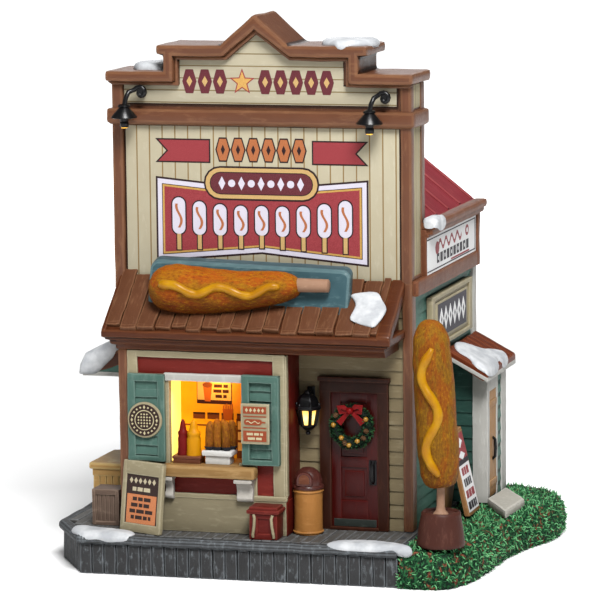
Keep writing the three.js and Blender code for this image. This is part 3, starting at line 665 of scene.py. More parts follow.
def growing_tree():
    """Sets copies of the pattern piece upright on a surface, spun and leaning."""
    nodes = PieceTree("grow_pieces", {"Density": "Float", "Lean": "Float", "Smallest": "Float"})
    plugs = nodes.plugs
    spread = {"Mesh": plugs["Geometry"], "Density": plugs["Density"], "Seed": plugs["Seed"]}
    sown = nodes.node("GeometryNodeDistributePointsOnFaces", spread, distribute_method="RANDOM")
    lean = plugs["Lean"]
    back = nodes.node("ShaderNodeMath", {0: lean, 1: -1.0}, operation="MULTIPLY")[0]
    own = nodes.swing((back, back, 0.0), (lean, lean, 2 * pi))
    turns = {0: sown["Rotation"], 1: nodes.node("FunctionNodeEulerToRotation", {0: own})[0]}
    stood = nodes.node("FunctionNodeRotateRotation", turns, rotation_space="LOCAL")[0]
    return nodes.set_out(sown["Points"], stood, nodes.chance(plugs["Smallest"], 1.0))


grow_pieces = growing_tree()


def grown(surface, pattern, paint, density, lean=25, smallest=0.6, seed=1):
    """Copies of a pattern shape grown all over a surface mesh, as one mesh."""
    inputs = {"Density": density, "Lean": radians(lean), "Smallest": smallest, "Seed": seed, "Paint": paint}
    return arranged(grow_pieces, pattern, surface, inputs)


def leaf_blade(length, width, bend):
    """One short closed blade that grows up along Z, with its "tip" marked from 0 to 1."""
    shape = bmesh.new()
    rings = []
    tip = shape.verts.layers.float.new("tip")
    for share, wide in ((-0.15, 1.0), (0.45, 0.85), (0.8, 0.5)):
        spots = disc(bend * share * share, 0, 0.5 * width * wide, 3)
        ring = [shape.verts.new((x, y, length * share)) for x, y in spots]
        for v in ring:
            v[tip] = max(0, share)
        rings.append(ring)
    top = shape.verts.new((bend, 0, length))
    top[tip] = 1.0
    skinned(shape, rings)
    pointed(shape, rings[-1], top)
    shape.faces.new(rings[0][::-1])
    return shape


lawn_blades = grown(lawn_ground, leaf_blade(1.35, 0.62, 0.9), grass_coat, 0.85, 58, 0.5, 11)
cast_in("lawn_grass", lawn_blades, [grass_coat], [], smooth=80)

# The walls. Lap boards pressed into the casting, one course every 4.5 mm: sand-coloured round the
# door, blue-green on the sides and the back; each lap's lip is a pale painted highlight and the line under it painted
# shade.
COURSE = 4.5
sand_paint = painted("sand_walls", "#9b8b6a", "#c0b291", "#4b3f2e", (0.25, 1, 1), 0.35, 0.5, 0.12)
teal_paint = painted("teal_walls", "#5e8a7c", "#90b3a5", "#1c332d", (0.3, 0.3, 1), 0.35, 0.5, 0.12)
white_paint = painted("white_trim", "#cfcdc6", "#ecebe6", "#6f6c66", (1, 1, 0.3), 0.35, 0.5, 0.1)


def siding(path, low, high, thick=3.7, lap=0.55):
    """Lap boards on a wall that runs along a path, its back on the path's left."""
    section = [(thick, low), (thick, high), (lap, high)]
    course = low + COURSE * int((high - low) / COURSE)
    while course > low + 0.8:
        section += [(0.0, course), (lap, course - 0.02)]
        course -= COURSE
    return sweep(path, [*section, (0.0, low)], False, 0.13, 4.0)


WALL_TOP, EAVES, WALL_LEFT, WALL_RIGHT = 96, 111.7, -62, 38.2
front_wall = siding([(WALL_LEFT, 0), (35.3, 0)], DECK_TOP, WALL_TOP)
cast_in("front_siding", front_wall, [sand_paint], ["wall_front"], 0.08)
cast_in("right_siding", [
    siding([(WALL_RIGHT, 4.3), (WALL_RIGHT, 83.7)], DECK_TOP, WALL_TOP),
    siding([(WALL_RIGHT, 16.1), (WALL_RIGHT, 83.7)], 96.02, EAVES),
], [teal_paint], ["wall_right"], 0.08)
cast_in("left_siding", [
    siding([(WALL_LEFT, 83.7), (WALL_LEFT, 4.3)], DECK_TOP, WALL_TOP),
    siding([(WALL_LEFT, 83.7), (WALL_LEFT, 16.1)], 96.02, EAVES),
], [teal_paint], ["wall_left"], 0.08)


def carved(shape, tool):
    """One loose shape with another cut out of it."""
    whole, spent = linked("carving", mesh_of(shape)), linked("carving", mesh_of(tool))
    cutter = whole.modifiers.new("cut", "BOOLEAN")
    cutter.operation, cutter.solver, cutter.object = "DIFFERENCE", "EXACT", spent
    return evaluated(whole, spent)


def lathe(profile, x, y, z=0.0, segments=32, edge=0.0):
    """A profile of (radius, height) turned about an upright axis; it starts and ends on it."""
    shape = bmesh.new()
    rings = []
    for r, h in profile:
        spots = disc(x, y, r, segments) if r else [(x, y)]
        rings.append([shape.verts.new((*spot, z + h)) for spot in spots])
    for one, two in zip(rings, rings[1:]):
        if len(one) == len(two):
            skinned(shape, [one, two])
        elif len(one) < len(two):
            pointed(shape, two, one[0], -1)
        else:
            pointed(shape, one, two[0])
    return finished(shape, edge, 0, 0, 40)


def turned_lathe(profile, spot, tip, segments=48):
    """A lathe shape tipped over about X, so that its axis runs from front to back, and set at a spot."""
    shape = turned_about(lathe(profile, 0, 0, 0, segments), (0, 0, 0), x=tip)
    bmesh.ops.translate(shape, verts=shape.verts, vec=spot)
    return shape


HOLE_X, HOLE_Z, HOLE_RADIUS = -12, 40, 11
back_wall = siding([(WALL_RIGHT, 88), (WALL_LEFT, 88)], DECK_TOP, EAVES, 3.9)
bulb_way = turned_lathe([(0, -8), (HOLE_RADIUS, -8), (HOLE_RADIUS, 8), (0, 8)], (HOLE_X, 86, HOLE_Z), 90)
cast_in("back_siding", carved(back_wall, bulb_way), [teal_paint], ["wall_back"])
ring_form = [(11.0, -1.9), (12.6, -1.9), (12.9, 0.2), (11.9, 0.75), (11.0, 0.5), (11.0, -1.9)]
hole_ring = turned_lathe(ring_form, (HOLE_X, 88.1, HOLE_Z), -90)
cast_in("bulb_hole_ring", hole_ring, [white_paint], [])
cast_in("corner_boards", [
    board((37.4, 84.0, DECK_TOP), (39.0, 88.7, 96), 0.3, 4),
    board((37.4, 84.0, 96), (38.35, 88.7, 111.6), 0.3, 4),
    board((-62.8, 84.0, DECK_TOP), (-61.2, 88.7, 111.6), 0.3, 4),
    board((-62.8, 4.4, DECK_TOP), (-61.9, 8.0, 92.2), 0.3, 4),
], [white_paint], [], 0.1)

# The serving bay. A box bay with a cream frame of flat boards, red panels sunk behind them, and a
# plain skirt below; cast with the wall and painted by hand, so no edge is quite straight.
bay_cream = painted("bay_cream", "#b5a988", "#d6ccae", "#564a36", (0.3, 1, 1), 0.4, 0.5, 0.1)
# the bay's cream, darkened for the skirt board as painted shade under the counter
bay_skirt_shaded = painted("bay_skirt_shaded", "#9c9175", "#bdb293", "#4c412f", (0.3, 1, 1), 0.4, 0.5, 0.1)
panel_red = painted("panel_red", "#872a22", "#aa473b", "#3a0c09", (0.25, 1, 1), 0.4, 0.45, 0.12)
# the panel red, darkened for the bay's side in the door recess as painted shade
side_red_shaded = painted("bay_side_shaded_red", "#681a13", "#832d22", "#290806", (1, 1, 0.3), 0.3, 0.45, 0.1)
FRONT = -16.5
bay_core = several(
    board((-58.2, FRONT + 0.75, DECK_TOP), (-1.0, -0.3, 32.2), 0.2, 0, 1),
    board((-58.2, FRONT + 0.75, 32.2), (-41.3, -0.3, 66.1), 0.1, 0, 0),
    board((-14.2, FRONT + 0.75, 32.2), (-1.0, -0.3, 66.1), 0.1, 0, 0),
    board((-58.2, FRONT + 0.75, 66.1), (-1.0, -0.3, 73.9), 0.2, 0, 1),
    board((-11.0, FRONT + 0.65, 26.0), (-4.4, FRONT + 1.4, 38.0), 0, 0, 1),
)
bay_nodes = ["bay_base", "bay_left", "bay_right", "bay_head"]
cast_in("bay_box", bay_core, [bay_cream, panel_red], bay_nodes, 0.05)
cast_in("bay_frame", [
    board((-55.6, FRONT - 0.25, 25.5), (-52.0, FRONT + 0.9, 73.6), 0.4, 3),
    board((-4.9, FRONT - 0.3, 25.5), (-0.7, FRONT + 0.9, 73.6), 0.45, 3),
    board((-55.6, FRONT - 0.2, 71.7), (-0.7, FRONT + 0.9, 74.0), 0.4, 3),
    board((-52.5, FRONT + 0.1, 31.6), (-16.0, FRONT + 0.9, 32.8), 0.25, 3),
    board((-16.8, FRONT + 0.0, 25.5), (-10.6, FRONT + 0.9, 37.2), 0.35, 3),
    board((-43.2, FRONT + 0.0, 32.6), (-41.0, FRONT + 0.9, 66.2), 0.3, 3),
    board((-55.6, FRONT - 0.35, DECK_TOP), (-0.4, FRONT + 0.9, 25.4), 0.45, 4, 1),
    board((-56.0, FRONT - 0.6, 24.6), (-0.1, FRONT + 0.9, 26.3), 0.4, 3),
    board((-3.6, FRONT + 0.2, 26.2), (-0.2, -13.6, 73.6), 0.4, 3),
], [bay_cream, bay_skirt_shaded], [], 0.16, 6)
cast_in("bay_side", [
    board((-1.4, -13.7, DECK_TOP), (-0.4, -0.4, 73.6), 0.2, 4),
    board((-1.2, FRONT, DECK_TOP), (-0.2, -0.4, 25.0), 0.3, 4),
], [side_red_shaded], [], 0.1)
brown_paint = painted("brown_trim", "#784b34", "#9b6e4d", "#331a0f", (1, 1, 0.25), 0.42, 0.42, 0.14, glaze=0.15)
brown_rail = painted("brown_rails", "#784b34", "#9b6e4d", "#331a0f", (0.22, 1, 1), 0.42, 0.42, 0.14, glaze=0.15)
bay_post = board((-58.7, FRONT - 0.35, DECK_TOP), (-55.4, FRONT + 2.4, 74.6), 0.9, 3)
cast_in("bay_corner_post", bay_post, [brown_paint], [], 0.22, 8)
header = board((-42.6, FRONT - 0.75, 64.1), (-14.6, FRONT + 1.2, 66.7), 0.45, 3)
cast_in("window_header", header, [white_paint], [], 0.14, 5)
# The lit room behind the serving window. A translucent printed film glows yellow at the back as painted
# light, brighter at the left; the poster and the shelf goods on it are part of the print, and a small warm bulb
# lights the sides.
def rect(u0, v0, u1, v1):
    return [(u0, v0), (u1, v0), (u1, v1), (u0, v1)]


def arc(u, v, r, start, span=180, count=10):
    """Points along part of a circle, in degrees, both ends included."""
    turns = [radians(start + span * i / count) for i in range(count + 1)]
    return [(u + r * cos(t), v + r * sin(t)) for t in turns]


def pill(u0, v0, u1, v1):
    """A bar with round ends."""
    r = (v1 - v0) / 2
    return arc(u1 - r, v0 + r, r, -90, 180, 8) + arc(u0 + r, v0 + r, r, 90, 180, 8)


def lozenge(u, v, width, height):
    return [(u - width / 2, v), (u, v - height / 2), (u + width / 2, v), (u, v + height / 2)]


def star(u, v, r):
    """Five points and five hollows, in turn."""
    corners, hollows = arc(u, v, r, 90, 360, 5), arc(u, v, 0.42 * r, 126, 360, 5)
    return [spot for pair in zip(corners[:5], hollows) for spot in pair]


def wave_line(u0, u1, v, swing, waves, width):
    """A wavy stroke of even width."""
    rows = [(u0 + (u1 - u0) * i / 24, v + swing * sin(2 * pi * waves * i / 24)) for i in range(25)]
    return [(u, w - width / 2) for u, w in rows] + [(u, w + width / 2) for u, w in rows[::-1]]


def wider(outline, out):
    """The outline grown by out all round."""
    area = sum(a[0] * b[1] - b[0] * a[1] for a, b in zip(outline, outline[1:] + outline[:1]))
    return [tuple(here + way * (-out if area > 0 else out)) for here, way in mitred(outline)]


def printed(layers, upright, film=0.05):
    """Flat printed shapes: (outline, layer, tint), each layer a film's thickness above the last."""
    films = [prism(outline, upright, -film, film * layer, 0, 0, tint) for outline, layer, tint in layers]
    shape = several(*films)
    bmesh.ops.triangulate(shape, faces=shape.faces)
    return shape


def bars(u0, u1, v_top, rows, pitch, height, seed, layer, tint, gap=0.5):
    """Rows of short plain bars, centred, as a list stands in a print."""
    pick = random.Random(seed)
    shapes = []
    for row in range(rows):
        v = v_top - row * pitch
        width = (u1 - u0) * pick.uniform(0.72, 1.0)
        u = (u0 + u1) / 2 - width / 2
        end = u + width
        while u < end - 0.6:
            piece = min(pick.uniform(1.4, 3.4), end - u)
            shapes.append((rect(u, v - height, u + piece, v), layer, tint))
            u += piece + gap
    return shapes


def snack_print(u, v, length, width, layer, batter, stick, mustard):
    """A plain corn dog lying level: a round-ended bar on a stick with a wavy stroke."""
    return [
        (rect(u + length * 0.3, v - width * 0.13, u + length * 0.5, v + width * 0.13), layer, stick),
        (pill(u - length * 0.5, v - width / 2, u + length * 0.34, v + width / 2), layer + 0.5, batter),
        (wave_line(u - length * 0.4, u + length * 0.24, v, width * 0.16, 2, width * 0.17), layer + 1, mustard),
    ]


def print_ink(name, code, grain=0.10, gloss=0.5):
    """Ink on a paper decal: flat colour with a fine speckle."""
    paint = Finish(name)
    speck = paint.grain(0.22, 2.0)
    colour = ink(code, 0.56)
    darker = [(1 - 1.6 * grain) * c for c in colour[:3]] + [1]
    paler = [min(1, c * (1 + grain) + 0.01) for c in colour[:3]] + [1]
    return paint.coat(paint.mix(speck.ramp(0.3, 0.7), darker, paler), gloss, paint.relief(speck, 0.01))


def facing_front(y):
    """Prints on a wall that faces the front, at a given depth."""
    return lambda u, v, w: (u, y - w, v)


def glow_ink(name, low_code, high_code, power):
    """Film that glows as painted light: brighter at the left and darker to the right across the window, a painted
    fall-off.
    """
    paint = Finish(name)
    run = (paint.axis("X") - (ZERO.x * 1000 - 41)) / 26.5
    cloud = paint.grain(3.5, 3.0) * 0.5 - 0.25
    colour = paint.mix((run + cloud).clear(), ink(low_code), ink(high_code))
    return paint.coat(colour, 0.5, None, 0.0, colour, power)


film_yellow = glow_ink("film_yellow", "#e2960a", "#b8680c", 0.45)
film_bright = glow_ink("film_bright", "#ffe070", "#ffcf4a", 1.0)
film_tan = glow_ink("film_tan", "#d09a4c", "#bf863a", 0.3)
film_brown = glow_ink("film_brown", "#3a1606", "#301204", 0.04)
film_orange = glow_ink("film_orange", "#b0580e", "#8c3c0a", 0.2)
film_rust = glow_ink("film_rust", "#74390e", "#5a2a0a", 0.16)
room_film = board((-41.2, -4.25, 36.3), (-14.3, -0.4, 66.0), 0.05)
cast_in("room_film", room_film, [film_yellow], ["room_back"])
shelf_goods = [
    (rect(-35.2, 54.6, -22.9, 62.6), 1, 3),
    (rect(-35.0, 55.9, -23.1, 62.4), 2, 2),
    ([(-33.0, 60.8), (-32.4, 55.4), (-30.4, 55.4), (-29.8, 60.8)], 3, 4),
    (disc(-31.4, 61.0, 1.75, 18, 0.55), 3.5, 5),
    (rect(-31.2, 61.0, -30.7, 63.6), 3, 3),
    (rect(-41.2, 47.0, -14.4, 47.5), 1, 5),
    ([(-26.2, 53.0), (-25.7, 49.2), (-22.9, 49.2), (-22.4, 53.0)], 3, 4),
    (rect(-21.4, 36.4, -16.6, 49.8), 1, 5),
    (rect(-20.9, 46.2, -17.1, 49.0), 2, 2),
    (rect(-20.9, 42.6, -17.1, 45.4), 2, 2),
    (rect(-20.9, 39.0, -17.1, 41.8), 2, 2),
]
shelf_goods += bars(-29.4, -23.9, 61.3, 3, 1.75, 1.1, 5, 3, 3, 0.4)
for i, u in enumerate((-36.6, -31.6, -26.6, -21.2)):
    shelf_goods += [(rect(u, 49.4, u + 4.2, 51.6), 1, 5), (rect(u, 51.0, u + 4.2, 51.6), 2, 3)]
for i in range(6):
    shelf_goods.append((rect(-26.1 + 0.62 * i, 52.6, -25.75 + 0.62 * i, 54.2 + 0.35 * (i % 3)), 2, 4))
for v in (47.6, 44.0, 40.4):
    shelf_goods.append((disc(-19.0, v, 0.35, 10), 3, 3))
goods_films = [film_yellow, film_bright, film_tan, film_brown, film_orange, film_rust]
cast_in("room_print", printed(shelf_goods, facing_front(-4.3)), goods_films, [])
# both side walls glow as painted light: the left bright yellow, the right a dimmer orange
cast_in("room_sides", [
    board((-41.25, -13.5, 36.4), (-40.9, -4.3, 65.9), 0.06, 0, 0),
    board((-14.6, -13.0, 36.4), (-14.25, -4.3, 65.9), 0.06, 0, 1),
], [film_bright, film_orange], [])

bulb = bpy.data.lights.new("room_bulb", "POINT")
bulb.energy, bulb.shadow_soft_size, bulb.color = 0.009, 0.003, (1.0, 0.52, 0.13)
linked("room_bulb", bulb).location = place(-27, -9.5, 62.5)

# The counter. A thick painted plank that runs in through the window, on two scroll brackets.
tan_paint = painted("tan_wood", "#a67f4c", "#cda873", "#50351a", (0.2, 1, 1), 0.45, 0.5, 0.16)
cast_in("counter_top", [
    board((-42.4, -21.5, 32.4), (-10.0, -16.6, 36.4), 1.0, 3),
    board((-41.2, -16.7, 32.6), (-14.3, -4.3, 36.3), 0.2, 4),
], [tan_paint], ["counter"], 0.2, 6)
bracket_paint = painted("bracket_grey", "#ccc6bc", "#e6e1d8", "#857c70", (1, 1, 1), 0.3, 0.5, 0.08)
scroll = [
    (-16.4, 24.5), (-17.9, 24.4), (-18.7, 24.8), (-19.0, 25.8), (-18.6, 26.9), (-18.3, 28.1), (-18.5, 29.2),
    (-19.2, 30.3), (-20.1, 31.0), (-20.9, 31.6), (-20.9, 32.3), (-16.4, 32.3)]


def facing_side(u, v, w):
    """For an outline in Y and Z that runs along X."""
    return (w, u, v)


for name, left, right in (("bracket_left", -42.4, -39.0), ("bracket_right", -17.4, -11.2)):
    shape = several(
        prism(scroll, facing_side, left + 0.3, right - 0.3, 0.35, 1.6),
        board((left - 0.1, -21.0, 31.0), (right + 0.1, -16.4, 32.35), 0.3, 2),
    )
    cast_in(name + "_scroll", shape, [bracket_paint], [name], 0.14, 3)

# The sauce tray: a brown tray with a red and a yellow squeeze bottle, glazed a little.
tray_paint = painted("tray_brown", "#7a4630", "#a06a4e", "#2e150c", (0.3, 1, 1), 0.35, 0.45, 0.08)
tray = several(
    board((-39.6, -17.4, 36.3), (-30.2, -11.6, 38.3), 0.3, 2.5),
    board((-39.9, -17.6, 37.9), (-29.9, -11.4, 38.9), 0.3, 2.5),
)
cast_in("sauce_tray_box", tray, [tray_paint], ["sauce_tray"], 0.12, 3)
sauce_red = painted("sauce_red", "#80100f", "#a83428", "#3b0506", (1, 1, 0.4), 0.25, 0.5, 0.06)
sauce_yellow = painted("sauce_yellow", "#eda000", "#f8c030", "#a86004", (1, 1, 0.4), 0.3, 0.5, 0.06)
bottle_form = [
    (0, 0), (1.75, 0), (1.95, 1), (1.7, 3.4), (1.75, 6.4), (1.5, 7.4), (1.65, 7.7), (1.65, 8.6), (1.2, 9.2),
    (1.0, 10.4), (0.7, 12.0), (0.35, 12.7), (0, 12.9)]
bottles = (("sauce_bottle_red", -36.9, 1.0, sauce_red), ("sauce_bottle_yellow", -33.1, 1.36, sauce_yellow))
for name, x, wide, paint in bottles:
    bottle = lathe([(r * wide, h) for r, h in bottle_form], x, -14.6, 38.0, 20)
    cast_in(name, bottle, [paint], [], 0.1, 2.5, 60)

# The rack: a white tray with a folded rim, and six corn dogs standing in it in two rows.
rack = several(
    board((-28.6, -16.6, 36.3), (-20.0, -11.6, 39.6), 0.4, 2),
    board((-29.5, -17.4, 39.2), (-19.1, -10.9, 41.0), 0.5, 2),
)
rack_white = painted("rack_white", "#f2f0ea", "#fffffc", "#94908a", brush=0.3)
cast_in("rack_tray", rack, [rack_white], ["corn_dog_rack"], 0.16, 3)


def batter(name, top, base, low, stretch):
    """Fried batter: golden and orange in patches, scratched along its length; lighter where it faces up as a painted
    highlight and red-brown where it faces down as painted shade.
    """
    paint = Finish(name)
    scratch = paint.grain(0.62, 6.0, stretch, 0.8)
    patch = paint.grain(2.8, 4.0, stretch)
    fleck = paint.grain(0.3, 3.0)
    up = paint.node("SeparateXYZ", {}, {0: paint.node("NewGeometry", {}, {}, "Normal")}, "Z")
    colour = paint.mix(patch.ramp(0.4, 0.57), ink(top, 0.4), ink(base, 0.4))
    # lighter orange where the surface faces up: painted highlight
    colour = paint.mix((up * 1.5 - 0.3).clear() * 0.5, colour, ink(top, 0.5))
    # red-brown where the surface faces down, spread by the patches: painted shade
    colour = paint.mix((up * -1.2 + patch * 0.8 - 0.15).clear() * 0.8, colour, ink(low, 0.42))
    colour = paint.mix(scratch.ramp(0.53, 0.62) * 0.7, colour, ink("#d89c10", 0.46))
    colour = paint.mix(scratch.ramp(0.48, 0.37) * 0.75, colour, ink(low, 0.4))
    colour = paint.mix(fleck.ramp(0.6, 0.68) * 0.45, colour, ink(low, 0.26))
    return paint.coat(colour, scratch * 0.25 + 0.5, paint.relief(scratch + fleck * 0.5, 0.35))


snack_batter = batter("rack_batter", "#c8741a", "#b06814", "#6a3210", (1, 1, 0.4))
snack_form = [(0, 0), (1.0, 0.1), (1.45, 0.9), (1.55, 3.5), (1.5, 7.0), (1.25, 8.6), (0.7, 9.5), (0, 9.8)]
snack_spots = [
    (-27.4, -15.5, 0.0), (-24.5, -15.5, 0.1), (-21.4, -15.5, 0.15),
    (-26.0, -12.6, 0.4), (-23.0, -12.6, 0.3), (-20.2, -12.6, 0.2)]
snacks = [
    turned_about(lathe(snack_form, x, y, 41.0 + up, 16), (x, y, 41), y=3 * sin(5 * x))
    for x, y, up in snack_spots]
cast_in("rack_corn_dogs", snacks, [snack_batter], [], 0.1, 2, 60)
paper_ink = painted("paper_cups", "#2b2d38", "#5c6070", "#0e0e12", brush=0.3)
cup_form = [(0, 0), (1.0, 0), (1.75, 1.5), (1.3, 1.6), (0, 1.2)]
cups = [lathe(cup_form, x, y, 40.7, 12) for x, y, up in snack_spots]
cast_in("rack_paper_cups", cups, [paper_ink], [], 0.1, 1.5)

# The shutters: blue-green, each a frame with slanted louvres, a round plaque on the left one and
# a small board on the right one. The plaque and board carry plain patterns.
shutter_paint = painted("shutter_teal", "#56796e", "#88a095", "#162823", (1, 1, 0.3), 0.4, 0.45, 0.12)


def shutter(side, left, right, low, high, front, back=-16.9):
    """Four rails and a back round a column of slanted slats."""
    rails = [
        board((left, front, low), (left + 2.7, back, high), 0.4, 3),
        board((right - 2.7, front, low), (right, back, high), 0.4, 3),
        board((left, front, low), (right, back, low + 1.8), 0.4, 3),
        board((left, front, high - 2.6), (right, back, high), 0.4, 3),
        board((left + 1, back - 0.5, low + 1), (right - 1, back, high - 1), 0.1),
    ]
    z = low + 2.0
    while z + 3.0 < high - 2.4:
        slat = board((left + 2.4, back - 1.0, z), (right - 2.4, back - 0.4, z + 2.9), 0.25, 2.5)
        rails.append(turned_about(slat, ((left + right) / 2, back - 0.7, z + 1.4), x=-14))
        z += 3.25
    nodes = ["shutter_" + side]
    cast_in(nodes[0] + "_louvred", rails, [shutter_paint], nodes, 0.16, 5)


shutter("left", -55.1, -42.0, 36.8, 66.3, -18.3)
shutter("right", -15.0, -2.0, 37.0, 67.2, -19.2)
PLAQUE_X, PLAQUE_Z = -48.9, 50.8
plaque_form = [(0, 0), (5.9, 0), (6.1, 0.35), (5.9, 0.8), (5.4, 0.95), (0, 0.95)]
plaque = turned_lathe(plaque_form, (PLAQUE_X, -18.2, PLAQUE_Z), 90, 44)
cast_in("plaque", plaque, [bay_cream], [])
ink_cream, ink_brown = print_ink("ink_cream", "#d8cba2"), print_ink("ink_dark_brown", "#35201a")
rings = ((5.35, 40, 1, 1), (3.4, 36, 2, 0), (3.1, 36, 3, 1))
plaque_print = [(disc(PLAQUE_X, PLAQUE_Z, r, count), layer, tint) for r, count, layer, tint in rings]
for i, (u, v) in enumerate(disc(PLAQUE_X, PLAQUE_Z, 4.4, 20)):
    plaque_print.append((lozenge(u, v, 0.8, 0.8 if i % 5 else 1.4), 2, 0))
for row in range(-2, 3):
    for column in range(-2, 3):
        if abs(row) + abs(column) < 4:
            plaque_print.append((lozenge(PLAQUE_X + column, PLAQUE_Z + row, 0.72, 0.72), 4, 0))
cast_in("plaque_print", printed(plaque_print, facing_front(-19.2)), [ink_cream, ink_brown], [])

menu = board((-14.8, -20.6, 44.5), (-5.0, -19.3, 58.0), 0.35, 3)
cast_in("menu_board_plate", menu, [bay_cream], ["menu_board"], 0.08)
ink_orange = print_ink("ink_orange", "#a34a28")
menu_print = [(rect(-13.9, 54.7, -5.9, 57.1), 1, 1), (rect(-13.9, 45.4, -5.9, 49.0), 1, 1)]
menu_print += [(lozenge(-12.7 + 1.4 * i, 55.9, 1.0, 1.5), 2, 0) for i in range(5)]
menu_print += [(rect(-13.9, 53.6, -5.9, 54.0), 1, 1), (rect(-13.9, 49.8, -5.9, 50.2), 1, 1)]
menu_print += snack_print(-9.9, 51.9, 7.4, 2.0, 1, 1, 1, 0)
menu_print += bars(-13.2, -6.6, 48.3, 2, 1.5, 0.8, 9, 2, 0, 0.4)
menu_film = printed(menu_print, facing_front(-20.65))
cast_in("menu_board_print", menu_film, [ink_cream, ink_orange], [])
# The doorway. A brown frame round a red-brown panelled door, both darkened as painted shade under the
# porch: stiles and rails stand out from the sunk panels, with a kick plate below and a black pull handle pinned on.
def tube(points, radii, segments=12, closed=False):
    """A round cord through the points, with a radius for each."""
    points = [Vector(p) for p in points]
    last = len(points) - 1
    radii = radii if isinstance(radii, (list, tuple)) else [radii] * len(points)
    shape = bmesh.new()
    rings, side = [], None
    for i, (p, r) in enumerate(zip(points, radii)):
        after = points[(i + 1) % len(points)] if closed else points[min(last, i + 1)]
        before = points[i - 1] if closed else points[max(0, i - 1)]
        way = (after - before).normalized()
        side = way.orthogonal() if side is None else side
        side = (side - way * side.dot(way)).normalized()
        rings.append([shape.verts.new(p + side * u + way.cross(side) * v) for u, v in disc(0, 0, r, segments)])
    skinned(shape, rings, closed)
    if not closed:
        pointed(shape, rings[0], shape.verts.new(points[0]), -1)
        pointed(shape, rings[-1], shape.verts.new(points[-1]))
    return finished(shape)


# the trim brown, darkened as painted shade under the porch
frame_brown_shaded = painted("door_frame_shaded_brown", "#3c1e14", "#633826", "#160704", (1, 1, 0.25), 0.3, 0.42, 0.1)
cast_in("door_frame_boards", [
    board((6.9, -1.9, DECK_TOP), (10.9, -0.2, 64.4), 0.4, 3),
    board((26.8, -1.9, DECK_TOP), (30.7, -0.2, 64.4), 0.4, 3),
    board((6.9, -1.95, 59.7), (30.7, -0.2, 64.4), 0.4, 3),
    board((6.3, -2.5, 63.4), (31.3, -0.2, 65.0), 0.4, 3),
    board((10.4, -2.4, DECK_TOP), (27.3, -0.2, 14.3), 0.3, 3),
], [frame_brown_shaded], ["door_frame"], 0.14, 5)
# the door's own red-brown, darkened as painted shade under the porch
door_red_shaded = painted("door_red_shaded", "#4a0906", "#661811", "#170201", (1, 1, 0.25), 0.32, 0.4, 0.1, glaze=0.15)
cast_in("door_leaf", [
    board((10.7, -0.75, 14.0), (27.1, -0.2, 60.0), 0.1),
    board((10.9, -1.35, 14.1), (14.2, -0.5, 59.8), 0.3, 4),
    board((23.1, -1.35, 14.1), (26.9, -0.5, 59.8), 0.3, 4),
    board((13.9, -1.35, 14.1), (23.4, -0.5, 23.3), 0.3, 4),
    board((13.9, -1.35, 34.5), (23.4, -0.5, 38.0), 0.3, 4),
    board((13.9, -1.35, 56.6), (23.4, -0.5, 59.8), 0.3, 4),
    board((15.3, -1.15, 24.6), (22.0, -0.5, 33.3), 0.45, 4),
    board((15.3, -1.15, 39.2), (22.0, -0.5, 55.5), 0.45, 4),
], [door_red_shaded], ["door"], 0.1, 5)
plate_paint = painted("kick_plate", "#343a36", "#5f665f", "#121412", gloss=0.4)
kick_plate = board((11.6, -1.55, 14.4), (26.3, -1.2, 16.9), 0.15)
cast_in("kick_plate", kick_plate, [plate_paint], [])
iron_black = painted("iron_black", "#0b0b0d", "#302f34", "#020202", (1, 1, 1), 0.22, 0.35, 0.08, 0.9, glaze=0.3)
pull_line = [(25.2, y, z) for y, z in ((-1.2, 36.4), (-2.5, 35.8), (-3.0, 33.0), (-2.5, 30.2), (-1.2, 29.6))]
pull_plate = board((23.9, -1.75, 28.8), (26.5, -1.25, 37.2), 0.3)
cast_in("door_pull", [pull_plate, tube(pull_line, 0.75, 8)], [iron_black], [])

# The wreath. Needles of painted greenery all over a ring, with gold balls, cones and a red ribbon
# bow; hung on the door as one casting.
def leafy(name, base, light, dark):
    """Greenery: darker towards each needle's foot as painted shade in its depths, and paler towards its tip as a
    painted highlight.
    """
    paint = Finish(name)
    tip = paint.mesh_mark("tip")
    patch = paint.grain(2.2, 3.0)
    colour = paint.mix((tip * 1.1 - 0.1).clear(), ink(dark), ink(base))
    colour = paint.mix((tip * patch.ramp(0.45, 0.65)) * 0.8, colour, ink(light))
    return paint.coat(colour, 0.6)


wreath_green = leafy("wreath_green", "#143420", "#3f7440", "#06120a")
WREATH_X, WREATH_Y, WREATH_Z, WREATH_R = 18.5, -3.4, 48.6, 5.6
ring_points = [(x, WREATH_Y, z) for x, z in disc(WREATH_X, WREATH_Z, WREATH_R, 40)]
ring_shape = tube(ring_points, [1.75 + 0.2 * sin(5 * i) for i in range(40)], 14, True)
needles = grown(mesh_of(ring_shape), leaf_blade(1.15, 0.42, 0.35), wreath_green, 2.6, 50, 0.55, 4)
cast_in("wreath_needles", needles, [wreath_green], [], smooth=80)
cast_in("wreath_base", tube(ring_points, 1.7, 14, True), [wreath_green], ["wreath"], 0.2, 1.5, 80)


def ball(x, y, z, r, segments=16):
    profile = [(0, -r), *arc(0, 0, r, -90, 180, 9)[1:-1], (0, r)]
    return lathe(profile, x, y, z, segments)


